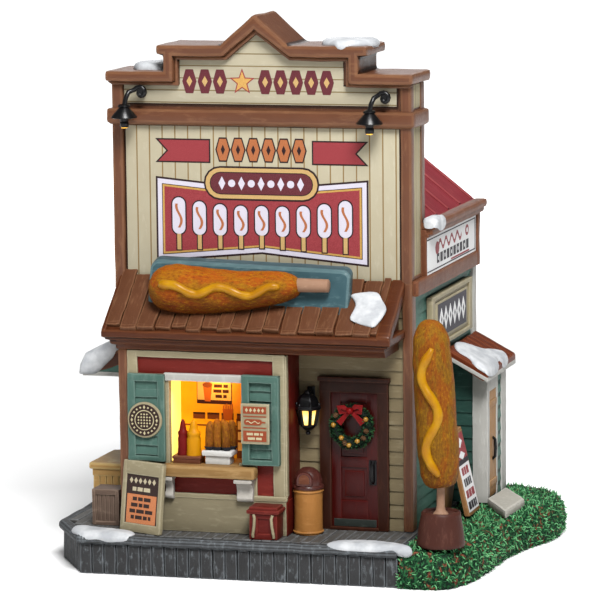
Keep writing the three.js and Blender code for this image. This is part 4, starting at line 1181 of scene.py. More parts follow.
gold_paint = painted("gold_balls", "#c08a2a", "#f3cf72", "#5a3808", brush=0.3, gloss=0.3, relief=0.03, glaze=0.5)
cone_paint = painted("cone_brown", "#6b4a30", "#b0906c", "#231509", brush=0.4, size=0.5)
ball_spots = ((12.7, 49.3), (23.9, 51.6), (15.4, 45.0), (20.9, 44.1), (18.0, 42.6))
wreath_balls = several(*[ball(x, WREATH_Y - 1.9, z, 0.85) for x, z in ball_spots])
cast_in("wreath_balls", wreath_balls, [gold_paint], [], smooth=80)
cone_form = [(0, -1.0), (0.8, -0.7), (0.6, -0.4), (1.0, -0.1), (0.7, 0.2), (0.85, 0.5), (0.5, 0.8), (0, 1.1)]
wreath_cones = []
for x, z, swing in ((13.6, 52.6, 40), (24.0, 47.6, -60), (16.6, 43.3, 160), (23.0, 45.2, 120)):
    cone = lathe(cone_form, x, WREATH_Y - 1.9, z, 10)
    wreath_cones.append(turned_about(cone, (x, WREATH_Y - 1.9, z), y=swing))
cast_in("wreath_cones", wreath_cones, [cone_paint], [])
ribbon_red = painted("ribbon_red", "#90060a", "#c03034", "#300406", brush=0.3, gloss=0.45)


BOW_Y = WREATH_Y - 2.6


def ribbon(path, widths, depth=0.45):
    """A flat ribbon through (x, y, z) points set out from the bow's knot, with a width for each."""
    shape = bmesh.new()
    points = [Vector(p) + Vector((0, BOW_Y, 0)) for p in path]
    rings, back = [], Vector((0, depth, 0))
    for i, (p, w) in enumerate(zip(points, widths)):
        way = (points[min(i + 1, len(points) - 1)] - points[max(0, i - 1)]).normalized()
        half = Vector((-way.z, 0, way.x)) * w / 2
        rings.append([shape.verts.new(q) for q in (p - half, p + half, p + half + back, p - half + back)])
    skinned(shape, rings)
    shape.faces.new(rings[0])
    shape.faces.new(rings[-1][::-1])
    return finished(shape, 0.12)


left_loop = [(18.6, 0, 54.4), (16.6, -0.8, 55.6), (14.9, -0.5, 55.4), (15.2, 0, 53.8), (18.4, 0.2, 54.0)]
right_loop = [(18.7, 0, 54.4), (20.7, -0.8, 55.9), (22.4, -0.5, 55.8), (22.2, 0, 54.0), (18.8, 0.2, 54.0)]
bow = several(
    ribbon(left_loop, (0.7, 1.6, 2.0, 1.6, 0.6)),
    ribbon(right_loop, (0.7, 1.7, 2.2, 1.7, 0.6)),
    ribbon([(18.5, 0, 54.0), (16.6, 0.2, 52.2), (14.6, 0.4, 49.9)], (0.8, 1.5, 2.2)),
    ribbon([(18.8, 0, 54.0), (20.9, 0.2, 52.3), (22.9, 0.4, 50.1)], (0.8, 1.5, 2.2)),
    ball(18.65, BOW_Y - 0.5, 54.4, 1.15),
)
cast_in("wreath_bow", bow, [ribbon_red], [], smooth=50)

# The lantern. A black cast lantern on the wall by the door: a pointed cap, four corner bars round
# lit amber panes, and a drop finial; its pane glows from inside.
LANTERN_X, LANTERN_Y, LANTERN_LOW = 3.8, -4.9, 45.4
pane_glow = Finish("lantern_pane")
flame = pane_glow.axis("Z") - 51.5
flame = (flame.maths("ABSOLUTE", flame) * 0.22).clear()
pane_tone = pane_glow.mix(flame, ink("#fff0a0"), ink("#e89a20"))
pane_light = pane_glow.mix(flame, ink("#ffe070"), ink("#d87808"))
pane_glow = pane_glow.coat(pane_tone, 0.3, None, 0.3, pane_light, 1.6)
cap_form = [
    (0, 8.7), (4.1, 8.7), (4.6, 9.1), (4.5, 9.9), (3.9, 10.3), (3.8, 11.6), (3.2, 12.8), (2.2, 13.7), (1.3, 14.1),
    (1.2, 14.6), (0.6, 15.2), (0, 15.3)]
drop_form = [(0, 0), (0.7, 0.3), (1.0, 0.9), (0.6, 1.4), (1.5, 1.9), (2.6, 2.9), (2.9, 3.7), (0, 3.7)]
hook = [(LANTERN_X, y, z) for y, z in ((LANTERN_Y, 59.6), (-3.2, 61.0), (-1.4, 60.2), (-0.4, 58.6))]
lantern_iron = several(
    lathe(cap_form, LANTERN_X, LANTERN_Y, LANTERN_LOW, 6, 0.12),
    lathe(drop_form, LANTERN_X, LANTERN_Y, LANTERN_LOW, 6, 0.1),
    tube(hook, 0.5, 8),
    board((LANTERN_X - 1.3, -0.9, 55.5), (LANTERN_X + 1.3, -0.1, 61.2), 0.25),
)
feet, heads, knobs = (disc(LANTERN_X, LANTERN_Y, r, 6) for r in (2.5, 3.6, 3.9))
for foot, head, knob in zip(feet, heads, knobs):
    several(lantern_iron, tube([(*foot, 48.8), (*head, 54.4)], 0.72, 6), ball(*knob, 55.9, 0.55, 8))
cast_in("lantern_iron", lantern_iron, [iron_black], ["lantern"])
panes = lathe([(0, 3.4), (2.3, 3.4), (3.2, 8.9), (0, 8.9)], LANTERN_X, LANTERN_Y, LANTERN_LOW, 6)
cast_in("lantern_panes", panes, [pane_glow], [])

# The corner post. A thick brown board at the right end of the front, with soft rounded edges.
post = board((35.5, -1.3, DECK_TOP), (39.0, 4.3, 97.2), 0.9, 3)
cast_in("corner_post_board", post, [brown_paint], ["corner_post"], 0.22, 8)

# The porch roof. Wide split boards run down the slope, their butt ends uneven, over a crown
# moulding of three soft steps; one brown casting with pale brush marks down each board.
roof_boards = painted("porch_boards", "#6f442c", "#9a6e4e", "#251209", (1.3, 0.22, 0.22), 0.42, 0.5, 0.22, 1.3)
# the moulding's own brown, darkened as painted shade under the porch roof; the awning's cap uses it too
moulding_brown_shaded = painted(
    "porch_moulding_shaded", "#5b2d16", "#814d2d", "#200c03", (0.2, 1, 1), 0.38, 0.42, 0.12, glaze=0.1
)
CROWN = [
    (0, 78.9), (0, 80.9), (0.5, 81.3), (5.5, 81.3), (5.5, 74.2), (4.3, 74.2), (3.9, 74.7), (3.9, 75.7),
    (2.7, 76.1), (2.3, 76.6), (2.2, 77.5), (1.1, 77.9), (0.9, 78.5)]
EAVES_LINE = [(-63.0, -0.4), (-63.0, -21.4), (36.5, -21.4), (36.5, -0.4)]
SLOPE_BACK, RAKE_FRONT = (-0.4, 96.7), (-19.6, 78.6)
porch_lines = (
    ([SLOPE_BACK, (-20.9, 80.6), (-20.9, 79.6), (-17.2, 74.4), (-0.4, 74.4)], -58.4, 34.1, 0.2, 4),
    ([SLOPE_BACK, (-20.9, 80.6), (-20.9, 79.4), (-0.4, 93.4)], -62.5, 36.0, 0.2, 4),
    ([(-0.4, 98.1), (-21.4, 81.7), (-21.4, 79.0), RAKE_FRONT, (-0.4, 92.6)], 31.6, 36.5, 0.8, 2.6),
    ([(-0.4, 97.7), (-21.3, 81.3), (-21.3, 79.0), RAKE_FRONT, (-0.4, 92.6)], -63.0, -61.4, 0.5, 2.6),
)
porch_core = [prism(line, facing_side, *rest) for line, *rest in porch_lines]
porch_core.append(sweep(EAVES_LINE, CROWN, False, 0.28, 2.6))
cast_in("porch_core", porch_core, [moulding_brown_shaded], ["porch_roof"], 0.2, 8)
PORCH_FALL = 0.784
porch_pitch = atan2(15.6, 19.9)
board_spots, pick = [], random.Random(8)
x = -62.0
while x < 31.6:
    width = min(pick.uniform(4.9, 6.4), 32.0 - x)
    y = -10.9 + pick.uniform(-0.3, 1.3)
    spot = (x + width / 2, y, 89.55 + (y + 11.1) * PORCH_FALL)
    board_spots.append((spot, (porch_pitch, 0, 0), (width / 5.7, 1, pick.uniform(0.8, 1.25))))
    x += width
split_board = several(
    board((-2.72, -12.6, -0.6), (2.72, 12.6, 0.6), 0.45, 2.2),
    board((-2.72, -13.0, -2.3), (2.72, -11.2, 0.7), 0.5, 1.6),
)
porch_boards = laid(split_board, board_spots, roof_boards, 1.6, 0.02, 21)
cast_in("porch_boards", porch_boards, [roof_boards], [], 0.3, 3)

# The sign board. A tall stepped board with a small gable stands over the porch as a false front:
# brown casting, with cream printed panels let into its face and its side.
FRONT_LINE = [
    (-64, 96.3), (38.1, 96.3), (38.1, 162.3), (17.9, 162.3), (17.9, 170.9), (-1.8, 170.9), (-13.9, 180),
    (-24.7, 170.9), (-41.9, 170.9), (-41.9, 162.3), (-64, 162.3)]
sign_core = prism(FRONT_LINE, facing_front(0), -15.8, -0.25, 0.2, 5)
cast_in("sign_board_core", sign_core, [brown_paint], ["sign_front"])


def ruled(letter, pitch, width, start=0.0):
    """Thin lines across one axis, for the lines of a painted finish."""

    def lines(paint):
        along = paint.axis(letter) - start
        return along.maths("PINGPONG", along, pitch / 2) < width / 2

    return lines


panel_upright = painted(
    "sign_panel_upright", "#d2c9ad", "#e3dcc6", "#b0905c", (1, 1, 0.3), 0.3, 0.55, 0.05,
    lines=ruled("X", 4.5, 0.42, 2.0)
)
panel_level = painted(
    "sign_panel_level", "#cfc6ab", "#e3dcc6", "#a8936a", (0.3, 1, 1), 0.3, 0.55, 0.05,
    lines=ruled("Z", 4.1, 0.38, 155.6)
)
low_panel = board((-60.4, -0.3, 97.2), (34.6, 0.4, 147.7), 0.12)
cast_in("sign_panel_low", low_panel, [panel_upright], [])
top_line = [
    (-60.7, 155.2), (33.8, 155.2), (33.8, 161.6), (15.7, 161.6), (15.7, 170.3), (-2.2, 170.3), (-13.9, 179.3),
    (-24.4, 170.3), (-41.0, 170.3), (-41.0, 161.6), (-60.7, 161.6)]
shadow_line = painted("panel_shadow", "#3a2418", "#4f3424", "#140a06", brush=0.1)
cast_in("sign_panel_backs", [
    board((-60.9, -0.27, 96.7), (35.1, 0.4, 148.2), 0.05),
    board((-61.2, -0.27, 154.7), (34.3, 0.4, 162.1), 0.05),
], [shadow_line], [])
cast_in("sign_panel_top", prism(top_line, facing_front(0), -0.4, 0.3, 0.12), [panel_level], [])
side_panels = several(
    board((37.8, 4.4, 98.5), (38.3, 12.9, 148.4), 0.1),
    board((37.8, 4.4, 154.2), (38.3, 12.9, 162.0), 0.1),
)
side_lines = ruled("Y", 8.6, 0.35, -26.2)
side_cream = painted("side_panel_cream", "#c9bd98", "#ddd4b4", "#8d7a55", (1, 1, 0.3), 0.35, lines=side_lines)
cast_in("sign_side_panels", side_panels, [side_cream], [])
cast_in("sign_side_trim", [
    board((37.6, 13.0, 96.3), (38.6, 17.6, 162.3), 0.3, 4),
    board((37.6, 1.2, 96.3), (38.6, 17.4, 98.6), 0.3, 4),
], [brown_paint], [], 0.15)

# The printed art on the board. A long bow-ended red banner under a maroon capsule and two swallow-
# tailed ribbons, all in plain shapes; each colour is one thin film of ink on the panel.
ART_CHIPS = {
    "red": "#a23c42", "dark": "#2c1417", "white": "#e6e0ee", "gold": "#d3a658",
    "maroon": "#6b2c34", "rust": "#bf7345", "tan": "#d8b273", "star": "#dfae5f"}
ARTS = [print_ink("art_" + name, code, 0.05 if name == "white" else 0.1) for name, code in ART_CHIPS.items()]
RED, DARK, WHITE, GOLD, MAROON, RUST, TAN, STAR = range(8)
BANNER = [(-49.3, 102.6), (-12.9, 105.9), (23.4, 102.6), (23.4, 130.0), (-12.9, 126.6), (-49.3, 130.0)]
banner_bands = ((0.65, DARK), (0, WHITE), (-1.5, DARK), (-1.75, GOLD), (-2.4, RED))
art = [(wider(BANNER, out), layer, tint) for layer, (out, tint) in enumerate(banner_bands, 1)]
for side, u in ((1, -40.4), (-1, 14.5)):
    swallow = ((-9.6, 135.4), (9.8, 135.4), (9.8, 143.5), (-9.6, 143.5), (-5.7, 139.4))
    tail = [(u + out * side, v) for out, v in swallow]
    art += [(tail, 1, DARK), (wider(tail, -0.5), 2, RED)]


def gem(u, v, width, height):
    """A six-sided ornament with pointed sides."""
    corners = ((-0.5, 0), (-0.26, -0.5), (0.26, -0.5), (0.5, 0), (0.26, 0.5), (-0.26, 0.5))
    return [(u + width * a, v + height * b) for a, b in corners]


for i in range(6):
    u = -26.2 + 5.3 * i
    art += [(gem(u, 140, 5.3, 8.2), 1, DARK), (gem(u, 140, 4.3, 7.2), 2, RUST)]
    art.append((lozenge(u, 140, 1.5, 3.4), 3, DARK))
for a, b, layer, tint in ((0, 0, 7, DARK), (0.6, 0.6, 8, TAN), (2.1, 1.9, 9, DARK), (2.4, 2.2, 10, MAROON)):
    art.append((pill(-33.0 + a, 123.1 + b, 7.2 - a, 134.5 - b), layer, tint))
for i in range(9):
    u = -26.6 + 3.42 * i
    art.append((disc(u, 128.8, 1.25, 18) if i % 2 else lozenge(u, 128.8, 2.4, 4.6), 11, WHITE))


def upright_dog(u, low, width, height):
    """A plain corn dog on its stick, standing: outline, stick, body and a mustard wave."""
    r = width / 2
    body = arc(u, low + height - r, r, 0) + arc(u, low + height * 0.3 + r, r, 180)
    waves = [(u + 0.4 * r * sin(2 * pi * i / 12), low + height * (0.42 + 0.046 * i)) for i in range(11)]
    wave = [(a - width * 0.1, b) for a, b in waves] + [(a + width * 0.1, b) for a, b in waves[::-1]]
    stick = rect(u - width * 0.15, low, u + width * 0.15, low + height * 0.4)
    outlines = [(wider(stick, 0.4), 6, DARK), (wider(body, 0.45), 7, DARK)]
    return outlines + [(stick, 8, TAN), (body, 9, WHITE), (wave, 10, RUST)]


for i in range(9):
    u = -41.9 + 7.25 * i
    lift = abs(i - 4) / 4
    art += upright_dog(u, 107.2 - 1.1 * lift, 4.5, 14.2 + 3.4 * lift * lift)
cast_in("sign_art_low", printed(art, facing_front(-0.32), 0.03), ARTS, [])
top_art = [(star(-19.2, 162.6, 4.6), 1, RED), (star(-19.2, 162.6, 3.6), 2, STAR)]
for u in (-37.6, -32.2, -26.9, -11.2, -5.9, -0.6, 4.7, 10.0):
    top_art += [(gem(u, 162.7, 5, 8.0), 1, MAROON), (lozenge(u, 162.7, 2, 3.6), 2, TAN)]
cast_in("sign_art_top", printed(top_art, facing_front(-0.32), 0.04), ARTS, [])

# The sign's brown trim. Corner posts, a ledge that wraps both ends, and a stepped cornice over the
# gable: thick mouldings, rounded by the mould, glazed and dry-brushed pale along their edges, partly a painted
# highlight.
cast_in("sign_posts", [
    board((-64.9, -1.4, 92.0), (-61.0, 1.5, 162.6), 0.9, 3),
    board((35.2, -1.4, 96.0), (39.0, 3.0, 162.6), 0.9, 3),
    board((-65.0, 1.0, 96.3), (-63.7, 17.0, 162.6), 0.3, 4),
], [brown_paint], ["post_left", "post_right"], 0.2, 8)
ledge_section = [(0, 148.9), (0, 153.3), (3.6, 153.8), (3.6, 147.9), (1.2, 147.9)]
ledge_line = [(-66.3, 17.6), (-66.3, -2.8), (40.3, -2.8), (40.3, 17.6)]
ledge = sweep(ledge_line, ledge_section, False, 1.0, 2.6)
cast_in("sign_ledge", ledge, [brown_rail], ["ledge"], 0.22, 7)
OVER = [
    (-66.3, 166.2), (-45.8, 166.2), (-45.8, 171.8), (-48.2, 171.8), (-48.2, 175.1), (-25.6, 175.1), (-13.9, 185.5),
    (-2.2, 175.1), (24.9, 175.1), (24.9, 171.8), (21.8, 171.8), (21.8, 166.2), (40.3, 166.2)]
UNDER = [
    (-66.3, 162.5), (-42.2, 162.5), (-42.2, 171.1), (-24.8, 171.1), (-13.9, 180.3), (-1.7, 171.1), (18.2, 171.1),
    (18.2, 162.5), (40.3, 162.5)]
BEAD = [
    (-64.4, 161.3), (-41.0, 161.3), (-41.0, 169.9), (-24.3, 169.9), (-13.9, 178.7), (-2.2, 169.9), (17.0, 169.9),
    (17.0, 161.3), (38.4, 161.3)]
cornice = several(
    prism(OVER + UNDER[::-1], facing_front(0), -20.0, 4.2, 1.4, 2.8),
    prism(UNDER + BEAD[::-1], facing_front(0), -0.5, 2.2, 0.7, 2.8),
)
cast_in("sign_cornice", cornice, [brown_rail], ["cornice"], 0.25, 8)

# The sign lamps. Two black goosenecks: a round base on the board, a neck that curls out and over,
# and a fluted bell shade hanging from it with a small warm bulb inside.
lamp_glow = Finish("lamp_bulb")
bulb_rough = lamp_glow.grain(1, 2.0) * 0.1 + 0.3
lamp_bulb = lamp_glow.coat(ink("#ffd060"), bulb_rough, None, 0.4, ink("#ffb020"), 1.2)
LAMP_Y = -7.2
shade_form = [
    (0, 0), (1.2, 0), (1.5, 0.3), (1.5, 1.7), (1.3, 2.0), (1.5, 2.3), (1.5, 3.1), (3.9, 3.0), (4.4, 3.2), (4.3, 3.6),
    (1.9, 6.3), (1.7, 6.6), (2.1, 6.9), (2.0, 7.4), (1.2, 7.8), (0, 7.9)]
bulb_form = [(0, -0.25), (1.0, -0.25), (1.15, 0.2), (0, 0.2)]
for name, x, low, hook in (("lamp_left", -58.4, 147.6, 4.4), ("lamp_right", 26.4, 146.8, 3.8)):
    coil_x, coil_z = x + hook + 0.4, low + 11.3
    neck = [(x, LAMP_Y, low + 7.0), (x + 0.5, -7.0, low + 9.6), (x + 1.2, -6.0, low + 11.6)]
    for i in range(13):
        t, r = pi * (0.85 - 0.16 * i), 2.3 - 0.16 * i
        neck.append((coil_x + r * cos(t), -4.2, coil_z + r * sin(t)))
    arm = tube([(coil_x, -4.6, coil_z), (coil_x, -0.2, coil_z)], [1.35, 1.1], 12)
    iron = several(lathe(shade_form, x, LAMP_Y, low, 24), tube(neck, 0.8, 10), arm)
    cast_in(name + "_iron", iron, [iron_black], [name], 0.06, 3, 50)
    cast_in(name + "_bulb", lathe(bulb_form, x, LAMP_Y, low, 18), [lamp_bulb], [])

# The roof sign. A steel-blue board with rounded ends leans on the porch roof, and a large corn dog
# lies across it: fried batter, a squeezed mustard line, and a bare wooden stick.
sign_blue = painted("roof_sign_blue", "#44646c", "#86a4a6", "#142429", (0.3, 1, 1), 0.4, 0.4, 0.1, glaze=0.2)


def round_rect(u0, v0, u1, v1, r):
    corners = [(u1 - r, v0 + r, -90), (u1 - r, v1 - r, 0), (u0 + r, v1 - r, 90), (u0 + r, v0 + r, 180)]
    return [spot for u, v, start in corners for spot in arc(u, v, r, start, 90, 6)]


def sign_up(u, v, w):
    """From the leaning board's own face: u along, v up it, w out from its front."""
    lean = radians(14)
    return (u, -12.6 + v * sin(lean) - w * cos(lean), 87 + v * cos(lean) - w * sin(lean))


board_edge = [(u, v * (0.93 - 0.0016 * (u + 49.6))) for u, v in round_rect(-49.6, 0, 20, 18.2, 3.4)]
blue_board = prism(board_edge, sign_up, -5.0, 0.0, 1.0, 3)
cast_in("roof_sign_plank", blue_board, [sign_blue], ["roof_sign_board"], 0.15, 6)
fried = batter("fried_batter", "#d06404", "#c48408", "#7c3206", (0.4, 1, 1))
DOG_Y, DOG_LENGTH = -13.2, 51.9
DOG_FORM = [
    (0, 0.4), (0.3, 2.2), (1.2, 4.4), (2.6, 6.0), (5, 7.5), (8.5, 8.1), (13, 8.1), (17, 7.9), (21.5, 7.55), (26, 7.1),
    (30.5, 6.7), (35, 6.3), (38.5, 6.0), (42, 5.7), (45, 5.4), (47.2, 4.9), (49.2, 4.2), (50.4, 3.7), (51.3, 3.1),
    (DOG_LENGTH, 2.4)]


def dog_middle(along):
    """The middle of the big corn dog, which sags a little and rises at its stick."""
    share = along / DOG_LENGTH
    sag = 1.6 * sin(pi * min(1, 1.1 * share))
    return Vector((-48.3 + along, DOG_Y, 95.6 - sag + 0.9 * share * share))


def between(keys, at, smooth=False):
    """The value at a place on a run of (place, value) keys."""
    for (a, first), (b, second) in zip(keys, keys[1:]):
        if at <= b:
            share = (at - a) / (b - a)
            return first + (second - first) * (0.5 - 0.5 * cos(pi * share) if smooth else share)
    return keys[-1][1]


def squeezed(i, last, thick, end):
    """How thick a squeezed line is at one of its points: thin at its ends and never quite even."""
    return thick * min(1, end + 0.14 * min(i, last - i)) * (1 + 0.05 * sin(0.9 * i))


roof_dog = tube([dog_middle(a) for a, r in DOG_FORM], [r for a, r in DOG_FORM], 36)
cast_in("roof_corn_dog_batter", sliced(roof_dog, 1.6), [fried], ["roof_corn_dog"], 0.3, 4.5, 80)
mustard = Finish("mustard")
mustard_patch = mustard.grain(5.0, 3.0)
mustard_colour = mustard.mix(mustard_patch.ramp(0.35, 0.7), ink("#cc8800", 0.45), ink("#dc9f04", 0.47))
mustard_relief = mustard.relief(mustard.grain(1.4, 2.0), 0.05)
mustard_coat = mustard.coat(mustard_colour, mustard_patch * 0.15 + 0.36, mustard_relief, 0.2)
TURNS = [(6.0, 0.26), (10.4, 0.28), (18.6, -0.03), (26.2, 0.31), (37.0, -0.19), (43.8, 0.19), (46.8, 0.13)]
squeeze, widths = [], []
for i in range(61):
    along = 6.0 + 40.8 * i / 60
    turn = between(TURNS, along, True)
    reach = between(DOG_FORM, along) + 0.15
    squeeze.append(dog_middle(along) + reach * Vector((0, -cos(turn), sin(turn))))
    thick = 1.42 + 0.4 * max(0, 1 - i / 12) - 0.12 * max(0, i / 20 - 2)
    widths.append(squeezed(i, 60, thick, 0.6))
mustard_line = tube(squeeze, widths, 16)
cast_in("roof_mustard_line", mustard_line, [mustard_coat], ["roof_mustard"], 0.08, 4, 80)
stick_wood = painted("stick_wood", "#b88f74", "#dab89e", "#64402a", (0.2, 1, 1), 0.3, 0.6, 0.12, 0.8)
stick_spots = [(x, DOG_Y, 97) for x in (2.5, 4.2, 13.2, 13.7, 13.9)]
roof_stick = tube(stick_spots, (2.3, 2.3, 2.2, 2.15, 1.85), 20)
cast_in("roof_stick_wood", roof_stick, [stick_wood], ["roof_stick"], 0.08, 3)

# The standing corn dog. It stands on its stick in a brown tub in front of the corner, with a wavy
# line of mustard down its front.
pot_brown = painted("pot_brown", "#563027", "#855949", "#1d0d08", (1, 1, 0.3), 0.35, 0.45, 0.12)
POT_X, POT_Y, BODY_LOW = 52.6, -18, 32.6
pot_form = [
    (0, 0), (7.7, 0), (8.0, 0.5), (7.9, 1.2), (7.2, 6.5), (6.5, 10.2), (6.35, 11.0), (5.9, 11.4), (5.3, 11.2),
    (5.0, 10.6), (0, 10.4)]
tub = lathe(pot_form, POT_X, POT_Y, DECK_TOP, 40)
cast_in("pot_tub", tub, [pot_brown], ["pot"], 0.2, 5, 50)
foot_form = [(0, 10.0), (2.7, 10.2), (2.3, 10.9), (1.6, 11.6), (1.35, 13.2), (1.3, 19.6), (0, 20.2)]
foot = lathe(foot_form, POT_X, POT_Y, DECK_TOP, 24)
cast_in("pot_stick_foot", foot, [stick_wood], ["pot_stick"], 0.1, 3, 60)
BODY_FORM = [
    (0, 0), (2.2, 0.05), (4, 0.3), (5.0, 1.1), (5.6, 2.2), (6.2, 4.1), (6.5, 6.5), (6.7, 10.5), (6.8, 15), (6.8, 20),
    (6.75, 25), (6.7, 30), (6.6, 35), (6.5, 40), (6.3, 44), (6.0, 47.4), (5.5, 50), (4.8, 51.9), (3.9, 53.3),
    (2.9, 54.3), (1.5, 55.0), (0, 55.2)]
standing = lathe(BODY_FORM, POT_X, POT_Y, BODY_LOW, 36)
standing = sliced(turned_about(standing, (POT_X, POT_Y, BODY_LOW), y=-3.55), 1.7)
fried_upright = batter("fried_batter_upright", "#b8640c", "#ae7c16", "#7c3a0a", (1, 1, 0.4))
cast_in("pot_corn_dog_batter", standing, [fried_upright], ["pot_corn_dog"], 0.3, 4.5, 80)
radii_up = [(height, r) for r, height in BODY_FORM]
drip, widths = [], []
for i in range(49):
    height = 4.6 + 42.0 * i / 48
    turn = 0.36 * sin(pi * i / 14 + 2.6)
    reach = between(radii_up, height) + 0.1
    out = (reach * sin(turn) - 0.062 * height, -reach * cos(turn), height)
    drip.append(Vector((POT_X, POT_Y, BODY_LOW)) + Vector(out))
    widths.append(squeezed(i, 48, 1.55, 0.5))
cast_in("pot_mustard_line", tube(drip, widths, 16), [mustard_coat], ["pot_mustard"], 0.08, 4, 80)
# The litter bin. A tan drum with a rolled hoop at each end, and a glazed brown dome lid with an
# arched mouth; turned and hand-painted.
bin_tan = painted("bin_tan", "#c48645", "#e5a967", "#583612", (0.3, 0.3, 1), 0.35, 0.5, 0.12)
lid_brown = painted("bin_lid_brown", "#562b24", "#865149", "#1b0a08", (1, 1, 1), 0.3, 0.35, 0.08, glaze=0.35)
BIN_X, BIN_Y = 5.0, -9.4
drum = sliced(lathe([(0, 0), (4.75, 0), (4.75, 15.2), (0, 15.2)], BIN_X, BIN_Y, DECK_TOP, 36), 1.6)
for z in (13.9, 27.6):
    several(drum, tube([(x, y, z) for x, y in disc(BIN_X, BIN_Y, 4.7, 32)], 0.42, 8, True))
cast_in("bin_drum", drum, [bin_tan], ["bin"], 0.12, 4)
dome_form = [
    (0, -0.2), (5.1, -0.2), (5.25, 0.3), (5.1, 0.9), (4.75, 1.1), (4.7, 2.6), (4.2, 4.4), (3.2, 5.8), (1.9, 6.7),
    (0, 7.1)]


def arch(u, v, width, height):
    r = width / 2
    return [(u - r, v), (u + r, v), *arc(u, v + height - r, r, 0)]


mouth = prism(arch(BIN_X, 29.8, 5.2, 4.6), facing_front(BIN_Y), 3.0, 5.0, 0.35)
dome = several(lathe(dome_form, BIN_X, BIN_Y, 28.6, 32), mouth)
cast_in("bin_dome", dome, [lid_brown], ["bin_lid"], 0.1, 3, 50)
bin_hole = prism(arch(BIN_X, 30.5, 3.7, 3.2), facing_front(BIN_Y), 4.6, 5.06, 0.1)
cast_in("bin_mouth", bin_hole, [tray_paint], [])

# The cooler. A maroon box with cream straps and a thick lid, standing at the deck's front edge.
cooler_red = painted("cooler_red", "#6e1f1a", "#984338", "#290706", (0.4, 1, 1), 0.35, 0.45, 0.1)
cooler = several(
    board((-10.9, -23.7, DECK_TOP), (-1.7, -16.9, 22.2), 0.3, 3),
    board((-11.1, -24.2, DECK_TOP), (-8.2, -16.8, 21.9), 0.35, 3),
    board((-4.2, -24.2, DECK_TOP), (-1.5, -16.8, 21.9), 0.35, 3),
    board((-11.0, -24.15, DECK_TOP), (-1.6, -16.8, 15.2), 0.35, 3),
    board((-11.0, -24.15, 20.2), (-1.6, -16.8, 22.0), 0.35, 3),
    board((-12.0, -24.9, 21.9), (-0.7, -16.3, 23.2), 0.45, 3),
    board((-11.3, -24.3, 22.9), (-1.4, -16.9, 24.2), 0.5, 3),
)
cast_in("cooler_box_lid", cooler, [cooler_red], ["cooler_box"], 0.14, 4)
straps = []
for x, lean in ((-9.5, 0.35), (-3.0, -0.35)):
    strap = [(x, -24.3, 21.6), (x + lean, -24.7, 20.4), (x + 0.4 * lean, -24.6, 17.6), (x - lean, -24.5, 15.0)]
    straps.append(tube([*strap, (x - lean, -24.3, 14.0)], 0.5, 8))
cast_in("cooler_straps", straps, [bay_cream], [], 0.06)

# The easel. A cream-framed dark menu board that leans back on the deck; its list is rows of plain
# orange bars under a small corn dog.
easel_dark = print_ink("easel_dark", "#3c2b26")
easel_orange, easel_cream = print_ink("easel_orange", "#e38f5d"), print_ink("easel_cream", "#dccfae")


def stand_easel(shape):
    bmesh.ops.translate(shape, verts=shape.verts, vec=(8.6, 0.9, 0))
    turned_about(shape, (0, 0, 0), x=-7)
    turned_about(shape, (0, 0, 0), z=-20.8)
    bmesh.ops.translate(shape, verts=shape.verts, vec=(-58, -20.4, DECK_TOP))
    return shape


easel_frame = several(
    board((-8.6, -0.9, 0.1), (-6.9, 0.9, 24.0), 0.4, 3),
    board((6.9, -0.9, 0.1), (8.6, 0.9, 24.0), 0.4, 3),
    board((-8.6, -0.9, 1.2), (8.6, 0.9, 3.0), 0.4, 3),
    board((-8.6, -0.9, 19.3), (8.6, 0.9, 24.0), 0.4, 3),
    board((-8.6, -0.9, 0.1), (8.6, 0.9, 2.6), 0.4, 3),
    board((-7.4, -0.45, 2.4), (7.4, 0.6, 22.8), 0.1),
)
cast_in("easel_frame", stand_easel(easel_frame), [bay_cream], ["menu_easel"], 0.14, 4)
easel_rows = [(rect(-7.3, 2.3, 7.3, 19.6), 1, 0), (rect(-6.3, 3.1, 6.3, 12.8), 2, 2)]
easel_rows += [(pill(-4.4, 20.0, 2.7, 22.4), 0.5, 0), (rect(2.2, 20.85, 5.2, 21.55), 0.5, 0)]
easel_rows += [(pill(-4.0, 20.4, 2.3, 22.0), 1.2, 2)]
easel_rows += [(lozenge(-4.9 + 1.96 * i, 17.4, 1.5, 2.1), 2, 1) for i in range(6)]
easel_rows += bars(-5.8, 5.8, 15.2, 1, 1.9, 1.3, 31, 2, 1) + bars(-5.2, 5.2, 11.9, 4, 2.05, 1.25, 32, 3, 0)
easel_print = printed(easel_rows, facing_front(-0.5), 0.04)
easel_inks = [easel_dark, easel_cream, easel_orange]
cast_in("easel_print", stand_easel(easel_print), easel_inks, [])

# The crate and the side counter at the left. Slatted boxes of weathered boards, the counter with a
# thick top; each slat is dry-brushed over a dark wash, its inner corners darkened as painted shade.
crate_wood = painted("crate_wood", "#776255", "#ae9683", "#30231b", (0.25, 0.25, 1), 0.45, 0.6, 0.18)
crate = [board((-69.2, -13.0, DECK_TOP), (-61.0, -5.4, 24.4), 0.2)]
crate += [board((-69.5 + 1.5 * i, -13.4, 14.4), (-68.2 + 1.5 * i, -12.6, 24.0), 0.2, 3) for i in range(6)]
crate += [board((-69.6, -13.2 + 1.6 * i, 14.4), (-68.8, -11.8 + 1.6 * i, 24.0), 0.2, 3) for i in range(5)]
crate += [board((-69.9, -13.8, z), (-60.4, -4.8, z + high), 0.3, 3) for z, high in ((DECK_TOP, 1.4), (23.6, 1.9))]
crate += [board((x, -13.9, DECK_TOP), (x + 1.2, -12.8, 25.2), 0.3, 3) for x in (-69.9, -61.6)]
cast_in("crate_slats", crate, [crate_wood], ["planter_box"], 0.14, 4)
counter_tan = painted("side_counter_tan", "#dbac68", "#ffe7a3", "#644826", (0.25, 0.25, 1), 0.4, 0.55, 0.15)
stall = [board((-76.4, 7.4, DECK_TOP), (-62.9, 30.6, 28.4), 0.2)]
